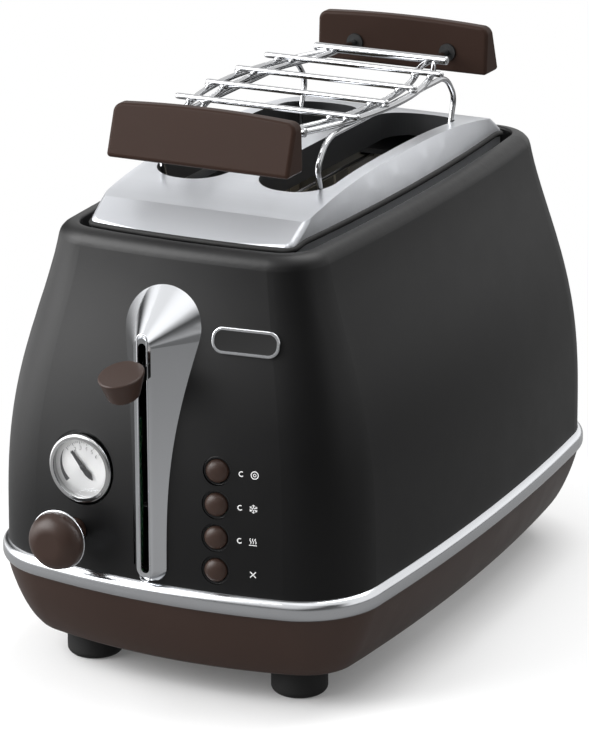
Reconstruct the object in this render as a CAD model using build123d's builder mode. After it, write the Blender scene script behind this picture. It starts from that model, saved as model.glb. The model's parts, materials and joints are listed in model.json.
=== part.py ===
"""Two-slot retro toaster with a lift-off bun rack, as separate pieces in millimetres.

The front, with the lever and the controls, faces -Y. Z points up from the table.
The model is laid out about the middle of the body; each piece is moved along Y when it is
written, so that the origin lies under the middle of the whole outline.
"""

from build123d import *
from math import acos, asin, atan, cos, degrees, radians, sin, sqrt
import os

# Body outline, measured where the shell meets the chrome band
body_half_width = 92.0
body_half_length = 147.0
body_corner = 35.5
body_front_bow = 15.0
body_side_bow = 8.6

# Heights above the table
tub_low = 15.1
seam_height = 50.0
shell_top = 196.7

# Shell: share of its height, and how far the wall has leaned in there
wall_profile = ((0.0, 0.0), (0.27, 0.9), (0.51, 5.5), (0.76, 15.7), (1.0, 25.0))
lean_across = 1.07
lean_along = 0.85
shell_wall = 1.5
top_front_bow = 4.7
top_side_bow = 5.0
top_corner = 20.7
rim_width = 7.4
rim_round = 7.0
rim_inner_round = 1.2
lip_depth = 8.0

# Chrome band round the seam
band_height = 9.8
band_proud = 2.6
band_round = 3.9
band_tongue = 1.0
band_tongue_reach = 3.6

# Base tub: share of its depth, and how far the wall has drawn in there
tub_profile = ((0.0, 0.0), (0.25, 1.7), (0.5, 4.4), (0.75, 7.9), (1.0, 13.3))
tub_proud = 0.9
tub_wall = 2.5
tub_floor = 3.0
tub_low_corner = 23.0
tub_edge_round = 4.0

# Feet
foot_diameter = 24.6
foot_across = 50.0
foot_inset = 40.4
foot_round = 3.0

# Bread slots in the top panel
slot_width = 34.8
slot_length = 151.5
slot_corner = 16.0
slot_across = 24.6
slot_shift = 4.5

# Top panel and the black trough round it
panel_gap = 5.4
panel_corner = 4.0
panel_base_drop = 0.2
panel_crown_rise = 16.1
panel_shoulder_rise = 14.6
panel_shoulder_along = 53.0
panel_end_rise = 8.5
panel_end_inset = 50.0
panel_toe_drop = 1.1
panel_ridge_half = 47.6
panel_ridge_bow = 1.5
panel_wall = 1.6
panel_bulge = 0.9
panel_edge_round = 2.4
slot_collar_depth = 7.0
slot_collar_wall = 1.2
surround_plate = 2.5
surround_overlap = 4.0

# Chassis behind the panel
end_plate_wall = 1.2
end_plate_gap = 9.0
end_plate_half = 54.0
shield_wall = 0.8
mica_wall = 0.8
mica_low = 56.0
mica_drop = 18.7
mica_inner_across = 2.6
mica_outer_across = 47.0
ribbon_width = 1.6
ribbon_wall = 0.4
ribbon_runs = 9
ribbon_margin = 9.0

# Self-centring bread guides
guide_wire = 1.8
upright_wire = 1.5
guide_inner_across = 9.2
guide_outer_across = 40.0
guide_low = 62.0
guide_drop = 12.7
guide_uprights = 9
guide_travel = 5.0

# Lever, carriage and lifters
lever_bottom = 70.5
lever_drop = 48.2
rod_diameter = 6.0
rod_inset = 43.0
running_clearance = 0.05
carriage_wall = 1.6
carriage_half = 34.0
carriage_under = 24.5
carriage_over = 1.5
arm_wall = 2.6
arm_depth = 6.0
lifter_wall = 1.5
lifter_depth = 10.0
lifter_under = 12.5
lifter_fingers = 7
finger_reach = 9.0
spring_across = -16.0
spring_radius = 4.0
spring_wire = 1.2
spring_turns = 11

# Lever trim on the front
trim_ridge_proud = 4.5
trim_ridge_half = 4.0
slot_ridge_half = 1.9
trim_low = 60.4
trim_head = 12.9
trim_slope = 0.75
trim_wall = 2.0
trim_foot = 56.6

# Lever knob
knob_top_width = 19.0
knob_top_length = 22.8
knob_foot_width = 12.4
knob_foot_length = 14.6
lever_knob_height = 11.0
lever_knob_tilt = 13.0
knob_edge_round = 0.8
lever_knob_proud = 22.4
lever_knob_rise = 5.1

# Gauge and browning knob
control_turn = 2.0
gauge_across = -34.2
gauge_height = 99.3
gauge_diameter = 30.4
gauge_rim = 2.2
gauge_gap = 1.0
gauge_proud = 1.9
gauge_edge_round = 1.1
cup_level = -2.6
lens_wall = 1.0
dial_wall = 0.8
needle_wall = 0.5
needle_angle = 29.0
needle_level = -1.0
needle_length = 9.4
needle_tail = 4.9
needle_half = 0.8
lens_level = 0.2
lens_overlap = 0.8
knob_across = -37.0
knob_height = 71.6
knob_diameter = 24.8
knob_standoff = 13.5
knob_dome = 8.5
knob_crown_round = 7.5
knob_ring_wall = 1.2
knob_ring_proud = 0.4
shaft_diameter = 6.0
control_depth = 26.0

# Push buttons, from the lowest to the highest
button_across = 30.0
button_low = 64.6
button_pitch = 14.4
button_diameter = 10.0
button_collar_wall = 1.3
button_proud = 2.4
button_travel = 2.5
button_recess = 0.8
button_depth = 24.0
stem_diameter = 4.0
switch_rise = 3.5
button_names = ("cancel_button", "reheat_button", "defrost_button", "bagel_button")

# Bare plate on the front
badge_across = 38.0
badge_drop = 35.3
badge_width = 30.0
badge_tall = 11.2
badge_end_flat = 0.6
badge_proud = 1.2
badge_rim = 1.3
badge_field_depth = 0.5
badge_edge_round = 0.4

# Crumb tray
tray_half = 44.0
tray_wall = 1.0
tray_rise = 11.0
tray_front = -76.0
tray_back_inset = 21.0
bay_height = 17.0

# Cord inlet at the back
inlet_across = -56.0
inlet_height = 33.0
inlet_bore = 3.6
inlet_neck = 6.0
inlet_flange = 9.0

# Bun rack
rack_across = 0.8
rack_along = 4.5
wire = 2.7
rod_wire = 4.0
cross_rise = 39.5
cross_half = 44.6
cross_pitch = 28.7
rod_drop = 1.1
rod_half = 33.5
rod_reach = 72.7
rail_drop = 2.7
rail_bend = 160.0
rail_return_bend = 55.0
outer_rail_half = 43.6
inner_rail_half = 36.3
inner_rail_end = 23.5
leg_edge_inset = 4.4
leg_drop = 5.4
leg_wire = 2.5
leg_steps = ((65.0, 0.3), (66.2, 9.3), (70.9, 22.8), (61.5, 34.1))
leg_radii = (12.0, 7.0, 16.0)
handle_half = 42.8
handle_low_rise = 27.6
handle_tall = 23.5
handle_foot_near = 94.2
handle_foot_far = 109.4
handle_crown_near = 95.3
handle_crown_far = 101.0
handle_arch = 1.6
handle_round = 1.6
handle_corner = 4.0
socket_diameter = 8.0
socket_depth = 6.0
socket_proud = 0.6

# Small gaps
press_gap = 0.02
seat_gap = 0.15
slip_gap = 0.3

# Places that follow the body's height
panel_base_height = shell_top - panel_base_drop
panel_crown = shell_top + panel_crown_rise
panel_shoulder = shell_top + panel_shoulder_rise
panel_end_height = shell_top + panel_end_rise
panel_toe_height = shell_top - panel_toe_drop
mica_high = shell_top - mica_drop
guide_high = shell_top - guide_drop
lever_height = shell_top - lever_drop
lever_travel = lever_height - lever_bottom
carriage_low = lever_height - carriage_under
carriage_high = lever_height + carriage_over
lifter_top = lever_height - lifter_under
trim_high = lever_height + trim_head
lever_knob_crown = lever_height + lever_knob_rise
badge_height = shell_top - badge_drop
cross_height = shell_top + cross_rise
rod_height = cross_height - rod_drop
rail_height = cross_height - rail_drop
leg_top = cross_height - leg_drop
leg_across = slot_across + slot_width / 2 - leg_edge_inset
leg_profile = tuple((along, shell_top + rise) for along, rise in leg_steps)
handle_low = shell_top + handle_low_rise
handle_high = handle_low + handle_tall

# Places that follow the body's length
panel_end_along = body_half_length - panel_end_inset
rod_along = rod_inset - body_half_length
trim_ridge_along = -body_half_length - trim_ridge_proud
lever_knob_along = -body_half_length - lever_knob_proud
tray_back = body_half_length - tray_back_inset
foot_along = body_half_length - foot_inset

# Fits round the gauge, the buttons and the plate
gauge_opening = gauge_diameter - 2 * gauge_rim
gauge_recess = gauge_diameter + 2 * gauge_gap
button_collar = button_diameter + 2 * button_collar_wall
badge_corner = badge_tall / 2 - badge_end_flat

# The whole outline runs from the lever knob at the front to the band at the back
front_reach = -lever_knob_along + knob_top_length / 2 * cos(radians(lever_knob_tilt))
back_reach = body_half_length + band_proud
middle_shift = (front_reach - back_reach) / 2


def write(part, name):
    """Label a piece and write it with the origin under the middle of the whole outline."""
    placed = part.moved(Location((0, middle_shift, 0)))
    placed.label = name
    export_step(placed, f"parts/{name}.step")


def bowed_face(half_width, half_length, corner, front_bow, side_bow):
    """Outline with four sides that bow outwards and rounded corners, as a loose face."""
    x = half_width
    y = half_length
    for _ in range(20):
        x = half_width - side_bow * (y / half_length) ** 2
        y = half_length - front_bow * (x / half_width) ** 2
    with BuildSketch(Plane.XY, mode=Mode.PRIVATE) as outline:
        with BuildLine():
            ThreePointArc((-x, -y), (0, -half_length), (x, -y))
            ThreePointArc((x, -y), (half_width, 0), (x, y))
            ThreePointArc((x, y), (0, half_length), (-x, y))
            ThreePointArc((-x, y), (-half_width, 0), (-x, -y))
        make_face()
        fillet(outline.vertices(), corner)
    return outline.sketch


def blend(start, end, share):
    """Value part of the way from start to end."""
    return start + (end - start) * share


def shell_face(lean, inset):
    """Section of the shell where its wall has leaned in by lean, drawn inset inside it."""
    share = lean / wall_profile[-1][1]
    return bowed_face(
        body_half_width - lean * lean_across - inset,
        body_half_length - lean * lean_along - inset,
        blend(body_corner, top_corner, share) - inset,
        blend(body_front_bow, top_front_bow, share),
        blend(body_side_bow, top_side_bow, share),
    )


def shell_form(inset, low, high, rounding):
    """Solid shell shape between two heights, with its top edge rounded."""
    with BuildPart() as form:
        for share, lean in wall_profile:
            section = shell_face(lean, inset)
            with BuildSketch(Plane.XY.offset(blend(low, high, share))):
                add(section)
        loft()
        fillet(form.edges().group_by(Axis.Z)[-1], rounding)
    return form.part


def tub_form(inset, low, high, rounding):
    """Solid tub shape between two heights, with its lower edge rounded."""
    with BuildPart() as form:
        for share, draw in tub_profile:
            section = bowed_face(
                body_half_width + tub_proud - draw - inset,
                body_half_length + tub_proud - draw - inset,
                blend(body_corner + tub_proud, tub_low_corner, share) - inset,
                body_front_bow,
                body_side_bow,
            )
            with BuildSketch(Plane.XY.offset(blend(high, low, share))):
                add(section)
        loft()
        fillet(form.edges().group_by(Axis.Z)[0], rounding)
    return form.part


os.makedirs("parts", exist_ok=True)

# Shell
shell_low = seam_height + band_tongue / 2
tub_high = seam_height - band_tongue / 2
shell_outside = shell_form(0, shell_low, shell_top, rim_round)
shell_inside = shell_form(shell_wall, shell_low, shell_top - shell_wall, rim_round - shell_wall)
top_half_width = body_half_width - wall_profile[-1][1] * lean_across
top_half_length = body_half_length - wall_profile[-1][1] * lean_along
opening_half_width = top_half_width - rim_width
opening_half_length = top_half_length - rim_width
opening_corner = top_corner - rim_width
opening_face = bowed_face(
    opening_half_width, opening_half_length, opening_corner, top_front_bow, top_side_bow
)
lip_face = bowed_face(
    opening_half_width + shell_wall,
    opening_half_length + shell_wall,
    opening_corner + shell_wall,
    top_front_bow,
    top_side_bow,
)

# Chrome band: a rounded section with a tongue between shell and tub, led round the seam
seam_face = bowed_face(
    body_half_width, body_half_length, body_corner, body_front_bow, body_side_bow
).face()
band_path = seam_face.outer_wire().moved(Location((0, 0, seam_height)))
band_ahead = band_path % 0
band_outward = band_ahead.cross(Vector(0, 0, 1))
band_middle = band_proud - band_round
band_flat = band_height / 2 - band_round
tub_side = tub_proud + seat_gap
band_top = band_flat + sqrt(band_round**2 - (press_gap - band_middle) ** 2)
band_foot = -band_flat - sqrt(band_round**2 - (tub_side - band_middle) ** 2)
with BuildPart() as chrome_band:
    with BuildSketch(Plane(origin=band_path @ 0, x_dir=band_outward, z_dir=-band_ahead)):
        with BuildLine():
            RadiusArc((press_gap, band_top), (band_proud, band_flat), band_round)
            Line((band_proud, band_flat), (band_proud, -band_flat))
            RadiusArc((band_proud, -band_flat), (tub_side, band_foot), band_round)
            Polyline(
                (tub_side, band_foot),
                (tub_side, -band_tongue / 2),
                (-band_tongue_reach, -band_tongue / 2),
                (-band_tongue_reach, band_tongue / 2),
                (press_gap, band_tongue / 2),
                (press_gap, band_top),
            )
        make_face()
    sweep(path=band_path)

write(chrome_band.part, "chrome_band")

# Base tub, open above, with a floor opening, the tray bay and the cord hole
tub_outside = tub_form(0, tub_low, tub_high, tub_edge_round)
tub_inside = tub_form(tub_wall, tub_low + tub_floor, tub_high + 1, tub_edge_round)
floor_level = tub_low + tub_floor
slot_front = slot_shift - slot_length / 2
slot_back = slot_shift + slot_length / 2
front_plate_along = slot_front - end_plate_gap
back_plate_along = slot_back + end_plate_gap
floor_opening_half = tray_half - 4
floor_opening_length = back_plate_along - front_plate_along - 8
bay_half = tray_half + slip_gap
with BuildPart() as base_tub:
    add(tub_outside)
    add(tub_inside, mode=Mode.SUBTRACT)
    with BuildSketch(Plane.XY.offset(tub_low - 1)):
        with Locations((0, slot_shift)):
            Rectangle(2 * floor_opening_half, floor_opening_length)
    extrude(amount=tub_floor + 2, mode=Mode.SUBTRACT)
    with BuildSketch(Plane.XZ.offset(-tray_back + 7)):
        with Locations((0, floor_level + bay_height / 2)):
            Rectangle(2 * bay_half, bay_height)
    extrude(amount=-40, mode=Mode.SUBTRACT)
    with BuildSketch(Plane.XZ.offset(-body_half_length / 2)):
        with Locations((inlet_across, inlet_height)):
            Circle(inlet_neck + press_gap)
    extrude(amount=-body_half_length, mode=Mode.SUBTRACT)

write(base_tub.part, "base_tub")

# Bottom plate, screwed under the floor opening, with vents
plate_margin = 5.0
vent_width = 3.0
with BuildPart() as bottom_plate:
    with BuildSketch(Plane.XY.offset(tub_low)):
        with Locations((0, slot_shift)):
            RectangleRounded(
                2 * (floor_opening_half + plate_margin),
                floor_opening_length + 2 * plate_margin,
                plate_margin,
            )
            with GridLocations(floor_opening_half / 2, floor_opening_length / 10, 3, 8):
                SlotOverall(floor_opening_half / 3, vent_width, mode=Mode.SUBTRACT)
    extrude(amount=-tray_wall)

write(bottom_plate.part, "bottom_plate")

# Four feet
with BuildPart() as feet:
    with BuildSketch(Plane.XY):
        with GridLocations(2 * foot_across, 2 * foot_along, 2, 2):
            Circle(foot_diameter / 2)
    extrude(amount=tub_low)
    fillet(feet.edges().group_by(Axis.Z)[0], foot_round)

write(feet.part, "feet")


def wall_plane(x, z):
    """Plane on the front of the shell, facing outwards, with its Y direction pointing up."""
    hit, normal = shell_outside.find_intersection_points(Axis((x, -300, z), (0, 1, 0)))[0]
    across = Vector(0, 0, 1).cross(normal)
    return Plane(origin=hit, x_dir=across, z_dir=normal)


# Holes through the front of the shell
control_facing = Vector(-sin(radians(control_turn)), -cos(radians(control_turn)), 0)
control_right = Vector(0, 0, 1).cross(control_facing)
gauge_plane = Plane(
    origin=wall_plane(gauge_across, gauge_height).origin,
    x_dir=control_right,
    z_dir=control_facing,
)
knob_plane = Plane(
    origin=wall_plane(knob_across, knob_height).origin,
    x_dir=control_right,
    z_dir=control_facing,
)
button_normal = wall_plane(button_across, button_low + (len(button_names) - 1) / 2 * button_pitch)
button_planes = []
for place in range(len(button_names)):
    spot = wall_plane(button_across, button_low + place * button_pitch).origin
    button_planes.append(Plane(origin=spot, x_dir=button_normal.x_dir, z_dir=button_normal.z_dir))
cup_radius = gauge_recess / 2 - 2 * running_clearance
hub_radius = shaft_diameter / 2 + 2
with BuildPart() as front_holes:
    with BuildSketch(gauge_plane.offset(-10)):
        Circle(gauge_recess / 2)
    extrude(amount=20)
    with BuildSketch(knob_plane.offset(-10)):
        Circle(hub_radius + slip_gap)
    extrude(amount=20)
    for plane in button_planes:
        with BuildSketch(plane.offset(-10)):
            Circle(button_collar / 2)
        extrude(amount=20)
    with BuildSketch(Plane.XZ.offset(body_half_length / 2)):
        with Locations((0, (trim_low + trim_high) / 2)):
            Rectangle(4 * trim_ridge_half, trim_high - trim_low - 2)
    extrude(amount=body_half_length)

with BuildPart() as body_shell:
    add(shell_outside)
    add(shell_inside, mode=Mode.SUBTRACT)
    with BuildSketch(Plane.XY.offset(shell_top - lip_depth)):
        add(lip_face)
    extrude(amount=lip_depth - shell_wall)
    with BuildSketch(Plane.XY.offset(shell_top - lip_depth)):
        add(opening_face)
    extrude(amount=lip_depth + 1, mode=Mode.SUBTRACT)
    add(front_holes.part, mode=Mode.SUBTRACT)
    mouth = body_shell.edges().filter_by_position(Axis.Z, shell_top - 0.01, shell_top + 0.01)
    inner_mouth = mouth.filter_by(lambda edge: abs(edge.center().Y) < opening_half_length + 1)
    inner_mouth = inner_mouth.filter_by(lambda edge: abs(edge.center().X) < opening_half_width + 1)
    fillet(inner_mouth, rim_inner_round)

write(body_shell.part, "body_shell")


def is_toe(face):
    """Whether a face of the top panel is one of the slopes at its ends."""
    outward = face.normal_at()
    return outward.Z > 0.3 and abs(outward.Y) > 0.3


def panel_form(inset, rounding):
    """Solid shape of the top panel, drawn inset inside it, with the edges of its toes rounded."""
    base_half_width = opening_half_width - panel_gap - inset
    base_half_length = opening_half_length - panel_gap - inset
    floor_height = shell_top - lip_depth
    crown = panel_crown + 2
    base_face = bowed_face(
        base_half_width, base_half_length, panel_corner, top_front_bow, top_side_bow
    )
    middle_face = bowed_face(
        (base_half_width + panel_ridge_half - inset) / 2 + panel_bulge,
        base_half_length,
        panel_corner,
        top_front_bow,
        blend(top_side_bow, panel_ridge_bow, 0.4),
    )
    crown_face = bowed_face(
        panel_ridge_half - inset, base_half_length, panel_corner, top_front_bow, panel_ridge_bow
    )
    with BuildPart() as form:
        with BuildSketch(Plane.XY.offset(panel_base_height)):
            add(base_face)
        with BuildSketch(Plane.XY.offset((panel_base_height + crown) / 2)):
            add(middle_face)
        with BuildSketch(Plane.XY.offset(crown)):
            add(crown_face)
        loft()
        with BuildSketch(Plane.XY.offset(panel_base_height)):
            add(base_face)
        extrude(amount=floor_height - panel_base_height - inset)
        with BuildSketch(Plane.YZ.offset(-body_half_width)):
            with BuildLine():
                toe = opening_half_length - panel_gap
                Spline(
                    (-panel_end_along, panel_end_height - inset),
                    (-panel_shoulder_along, panel_shoulder - inset),
                    (0, panel_crown - inset),
                    (panel_shoulder_along, panel_shoulder - inset),
                    (panel_end_along, panel_end_height - inset),
                )
                Polyline(
                    (panel_end_along, panel_end_height - inset),
                    (toe, panel_toe_height - inset),
                    (toe, floor_height - 5),
                    (-toe, floor_height - 5),
                    (-toe, panel_toe_height - inset),
                    (-panel_end_along, panel_end_height - inset),
                )
            make_face()
        extrude(amount=2 * body_half_width, mode=Mode.INTERSECT)
        if rounding:
            toes = form.faces().filter_by(GeomType.PLANE).filter_by(is_toe)
            rims = toes.edges().filter_by(lambda edge: abs((edge @ 0.5).Y) > panel_end_along + 0.1)
            fillet(rims, rounding)
    return form.part


# Top panel with its two bread slots
panel_outside = panel_form(0, panel_edge_round)
panel_inside = panel_form(panel_wall, 0)
with BuildPart() as slot_collars:
    with BuildSketch(Plane.XY.offset(panel_end_height - slot_collar_depth)):
        with Locations((-slot_across, slot_shift), (slot_across, slot_shift)):
            RectangleRounded(
                slot_width + 2 * slot_collar_wall,
                slot_length + 2 * slot_collar_wall,
                slot_corner + slot_collar_wall,
            )
    extrude(amount=panel_crown)
    add(panel_outside, mode=Mode.INTERSECT)

with BuildPart() as top_panel:
    add(panel_outside)
    add(panel_inside, mode=Mode.SUBTRACT)
    add(slot_collars.part)
    with BuildSketch(Plane.XY.offset(panel_end_height - 2 * slot_collar_depth)):
        with Locations((-slot_across, slot_shift), (slot_across, slot_shift)):
            RectangleRounded(slot_width, slot_length, slot_corner)
    extrude(amount=panel_crown, mode=Mode.SUBTRACT)

write(top_panel.part, "top_panel")

# Black trough that carries the panel and hangs under the lip of the shell
trough_level = shell_top - lip_depth
trough_under = trough_level - surround_plate
with BuildPart() as top_surround:
    trough_face = bowed_face(
        opening_half_width + surround_overlap,
        opening_half_length + surround_overlap,
        opening_corner + surround_overlap,
        top_front_bow,
        top_side_bow,
    )
    with BuildSketch(Plane.XY.offset(trough_under)):
        add(trough_face)
        with Locations((0, slot_shift)):
            RectangleRounded(
                2 * (slot_across + slot_width / 2 + slot_collar_wall),
                slot_length + 2 * slot_collar_wall,
                slot_corner,
                mode=Mode.SUBTRACT,
            )
    extrude(amount=surround_plate)

write(top_surround.part, "top_surround")

# End plates: steel walls in front of and behind the slots, standing on the tub floor
plate_rise = trough_under - floor_level
lifter_rest_low = lifter_top - lifter_depth
run_low = lifter_rest_low - lever_travel - 2
run_high = lifter_top + 2
guide_play = guide_wire + 2 * slip_gap


def end_plate(along, with_bay):
    """Steel end plate whose near face stands at along, with runners for lifters and guides."""
    with BuildPart() as plate:
        with BuildSketch(Plane.XZ.offset(-along)):
            with Locations((0, floor_level + plate_rise / 2)):
                Rectangle(2 * end_plate_half, plate_rise)
            run_middle = (run_low + run_high) / 2
            with Locations((-slot_across, run_middle), (slot_across, run_middle)):
                Rectangle(lifter_wall + 2 * slip_gap, run_high - run_low, mode=Mode.SUBTRACT)
            for height in (guide_low, guide_high):
                for side in (-1, 1):
                    with Locations(
                        (side * (guide_inner_across + guide_travel / 2), height),
                        (side * (guide_outer_across - guide_travel / 2), height),
                    ):
                        Rectangle(guide_travel + guide_play, guide_play, mode=Mode.SUBTRACT)
            if with_bay:
                with Locations((0, floor_level + (bay_height + 2) / 2)):
                    Rectangle(2 * bay_half + 2, bay_height + 2, mode=Mode.SUBTRACT)
        extrude(amount=-end_plate_wall)
    return plate.part


front_end_plate = end_plate(front_plate_along - end_plate_wall, False)
rear_end_plate = end_plate(back_plate_along, True)
write(front_end_plate, "front_end_plate")
write(rear_end_plate, "rear_end_plate")

# Heat shields close the sides of the chassis
chassis_length = back_plate_along - front_plate_along + 2 * end_plate_wall
for side, name in ((-1, "heat_shield_left"), (1, "heat_shield_right")):
    with BuildPart() as heat_shield:
        with BuildSketch(Plane.XY.offset(floor_level)):
            with Locations((side * (end_plate_half + shield_wall / 2), slot_shift)):
                Rectangle(shield_wall, chassis_length)
        extrude(amount=plate_rise)
    write(heat_shield.part, name)

# Mica boards, each with one heating ribbon on the side that faces the bread
board_length = back_plate_along - front_plate_along - 2 * slip_gap
boards = (
    ("left_outer", -mica_outer_across, 1),
    ("left_inner", -mica_inner_across, -1),
    ("right_inner", mica_inner_across, 1),
    ("right_outer", mica_outer_across, -1),
)
run_half = board_length / 2 - ribbon_margin
run_pitch = (mica_high - mica_low - 2 * ribbon_margin) / (ribbon_runs - 1)
ribbon_corners = []
for run in range(ribbon_runs):
    height = mica_low + ribbon_margin + run * run_pitch
    direction = 1 if run % 2 == 0 else -1
    ribbon_corners.append((slot_shift - direction * run_half, height))
    ribbon_corners.append((slot_shift + direction * run_half, height))
for name, across, facing in boards:
    with BuildPart() as mica_board:
        with BuildSketch(Plane.YZ.offset(across - mica_wall / 2)):
            with Locations((slot_shift, (mica_low + mica_high) / 2)):
                Rectangle(board_length, mica_high - mica_low)
        extrude(amount=mica_wall)
    write(mica_board.part, f"mica_board_{name}")

    with BuildPart() as heating_ribbon:
        with BuildSketch(Plane.YZ.offset(across + facing * mica_wall / 2)):
            with BuildLine():
                Polyline(*ribbon_corners)
            trace(line_width=ribbon_width)
        extrude(amount=facing * ribbon_wall)
    write(heating_ribbon.part, f"heating_ribbon_{name}")

# Bread guides: wire grids whose rails run in the end plates
rail_overrun = 3.0
rail_length = chassis_length + 2 * rail_overrun
upright_pitch = (slot_length - 2 * slot_corner) / (guide_uprights - 1)
guides = (
    ("left_outer", -guide_outer_across),
    ("left_inner", -guide_inner_across),
    ("right_inner", guide_inner_across),
    ("right_outer", guide_outer_across),
)
for name, across in guides:
    with BuildPart() as bread_guide:
        with BuildSketch(Plane.XZ.offset(rail_length / 2 - slot_shift)):
            with Locations((across, guide_low), (across, guide_high)):
                Circle(guide_wire / 2)
        extrude(amount=-rail_length)
        with BuildSketch(Plane.XY.offset(guide_low)):
            with Locations((across, slot_shift)):
                with GridLocations(0, upright_pitch, 1, guide_uprights):
                    Circle(upright_wire / 2)
        extrude(amount=guide_high - guide_low)
    write(bread_guide.part, f"bread_guide_{name}")

# Guide rod of the carriage, from the tub floor to the trough
with BuildPart() as guide_rod:
    with BuildSketch(Plane.XY.offset(floor_level)):
        with Locations((0, rod_along)):
            Circle(rod_diameter / 2)
    extrude(amount=plate_rise)

write(guide_rod.part, "guide_rod")

# Carriage: a cross plate with a block that runs on the rod, a lug for the spring and a shelf
block_half = 9.0
block_front = rod_along - 8.0
block_rise = 6.0
plate_back = front_plate_along - end_plate_wall - 6
plate_front = plate_back - carriage_wall
carriage_middle = (carriage_low + carriage_high) / 2
lug_wall = 4.0
keeper_across = 20.0
keeper_size = 14.0
keeper_along = plate_back - keeper_size / 2
with BuildPart() as bread_carriage:
    with BuildSketch(Plane.XZ.offset(-plate_back)):
        with Locations((0, carriage_middle)):
            Rectangle(2 * carriage_half, carriage_high - carriage_low)
    extrude(amount=carriage_wall)
    with BuildSketch(Plane.XY.offset(carriage_low)):
        with Locations((0, (block_front + plate_front) / 2)):
            Rectangle(2 * block_half, plate_front - block_front)
    extrude(amount=carriage_high + block_rise - carriage_low)
    with BuildSketch(Plane.XY.offset(carriage_high - lug_wall)):
        with Locations((spring_across / 2, rod_along)):
            Rectangle(abs(spring_across) + 3 * spring_radius, 3 * spring_radius)
    extrude(amount=lug_wall)
    with BuildSketch(Plane.XY.offset(carriage_low)):
        with Locations((keeper_across, keeper_along)):
            Rectangle(keeper_size, keeper_size)
    extrude(amount=carriage_wall)
    with BuildSketch(Plane.XY.offset(carriage_low - 1)):
        with Locations((0, rod_along)):
            Circle(rod_diameter / 2 + running_clearance)
    extrude(amount=carriage_high - carriage_low + 10, mode=Mode.SUBTRACT)

write(bread_carriage.part, "bread_carriage")

# Lifters: a bar under each slice with fingers across it
finger_pitch = (slot_length - 3 * slot_corner) / (lifter_fingers - 1)
lifter_back = back_plate_along + end_plate_wall + rail_overrun
for side, name in ((-1, "lifter_left"), (1, "lifter_right")):
    with BuildPart() as lifter:
        with BuildSketch(Plane.XY.offset(lifter_rest_low)):
            with Locations((side * slot_across, (plate_back + lifter_back) / 2)):
                Rectangle(lifter_wall, lifter_back - plate_back)
        extrude(amount=lifter_depth)
        with BuildSketch(Plane.XY.offset(lifter_top - lifter_wall)):
            with Locations((side * slot_across, slot_shift)):
                with GridLocations(0, finger_pitch, 1, lifter_fingers):
                    SlotOverall(2 * finger_reach, 2 * lifter_wall)
        extrude(amount=lifter_wall)
    write(lifter.part, name)

# Return spring between the carriage's lug and the trough
spring_height = trough_under - carriage_high
spring_pitch = (spring_height - spring_wire) / spring_turns
with BuildPart() as return_spring:
    with BuildLine():
        coil = Helix(
            pitch=spring_pitch,
            height=spring_height - spring_wire,
            radius=spring_radius,
            center=(spring_across, rod_along, carriage_high + spring_wire / 2),
        )
    with BuildSketch(Plane(origin=coil @ 0, z_dir=coil % 0)):
        Circle(spring_wire / 2)
    sweep(is_frenet=True)

write(return_spring.part, "return_spring")

# Hold magnet on the tub floor, and its keeper under the carriage
keeper_wall = 3.0
pole_rise = 3.0
magnet_top = carriage_low - keeper_wall - lever_travel - slip_gap
with BuildPart() as keeper_plate:
    with BuildSketch(Plane.XY.offset(carriage_low)):
        with Locations((keeper_across, keeper_along)):
            Rectangle(keeper_size, keeper_size)
    extrude(amount=-keeper_wall)

write(keeper_plate.part, "keeper_plate")

with BuildPart() as hold_magnet:
    with BuildSketch(Plane.XY.offset(floor_level)):
        with Locations((keeper_across, keeper_along)):
            RectangleRounded(keeper_size + 4, keeper_size + 4, pole_rise)
    extrude(amount=magnet_top - floor_level - pole_rise)
    with BuildSketch(Plane.XY.offset(magnet_top - pole_rise)):
        with Locations((keeper_across, keeper_along)):
            Rectangle(keeper_size - 4, keeper_size - 4)
    extrude(amount=pole_rise)

write(hold_magnet.part, "hold_magnet")

# Lever arm, from the carriage block through the slot in the trim
arm_front = lever_knob_along - 2
with BuildPart() as lever_arm:
    with BuildSketch(Plane.XZ.offset(-block_front)):
        with Locations((0, lever_height)):
            Rectangle(arm_wall, arm_depth)
    extrude(amount=block_front - arm_front)

write(lever_arm.part, "lever_arm")

# Lever knob: an oval cup that narrows downwards, with its crown tilted to the front
crown_plane = Plane(
    origin=(0, lever_knob_along, lever_knob_crown),
    x_dir=(1, 0, 0),
    z_dir=(0, -sin(radians(lever_knob_tilt)), cos(radians(lever_knob_tilt))),
)
with BuildPart() as lever_knob:
    with BuildSketch(crown_plane):
        Ellipse(knob_top_width / 2, knob_top_length / 2)
    with BuildSketch(crown_plane.offset(-lever_knob_height)):
        Ellipse(knob_foot_width / 2, knob_foot_length / 2)
    loft()
    fillet(lever_knob.edges().group_by(Axis.Z)[-1], knob_edge_round)
    fillet(lever_knob.edges().group_by(Axis.Z)[0], 2 * knob_edge_round)
    with BuildSketch(Plane.XZ.offset(-block_front)):
        with Locations((0, lever_height)):
            Rectangle(arm_wall + 2 * press_gap, arm_depth + 2 * press_gap)
    extrude(amount=block_front - arm_front, mode=Mode.SUBTRACT)

write(lever_knob.part, "lever_knob")

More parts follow.
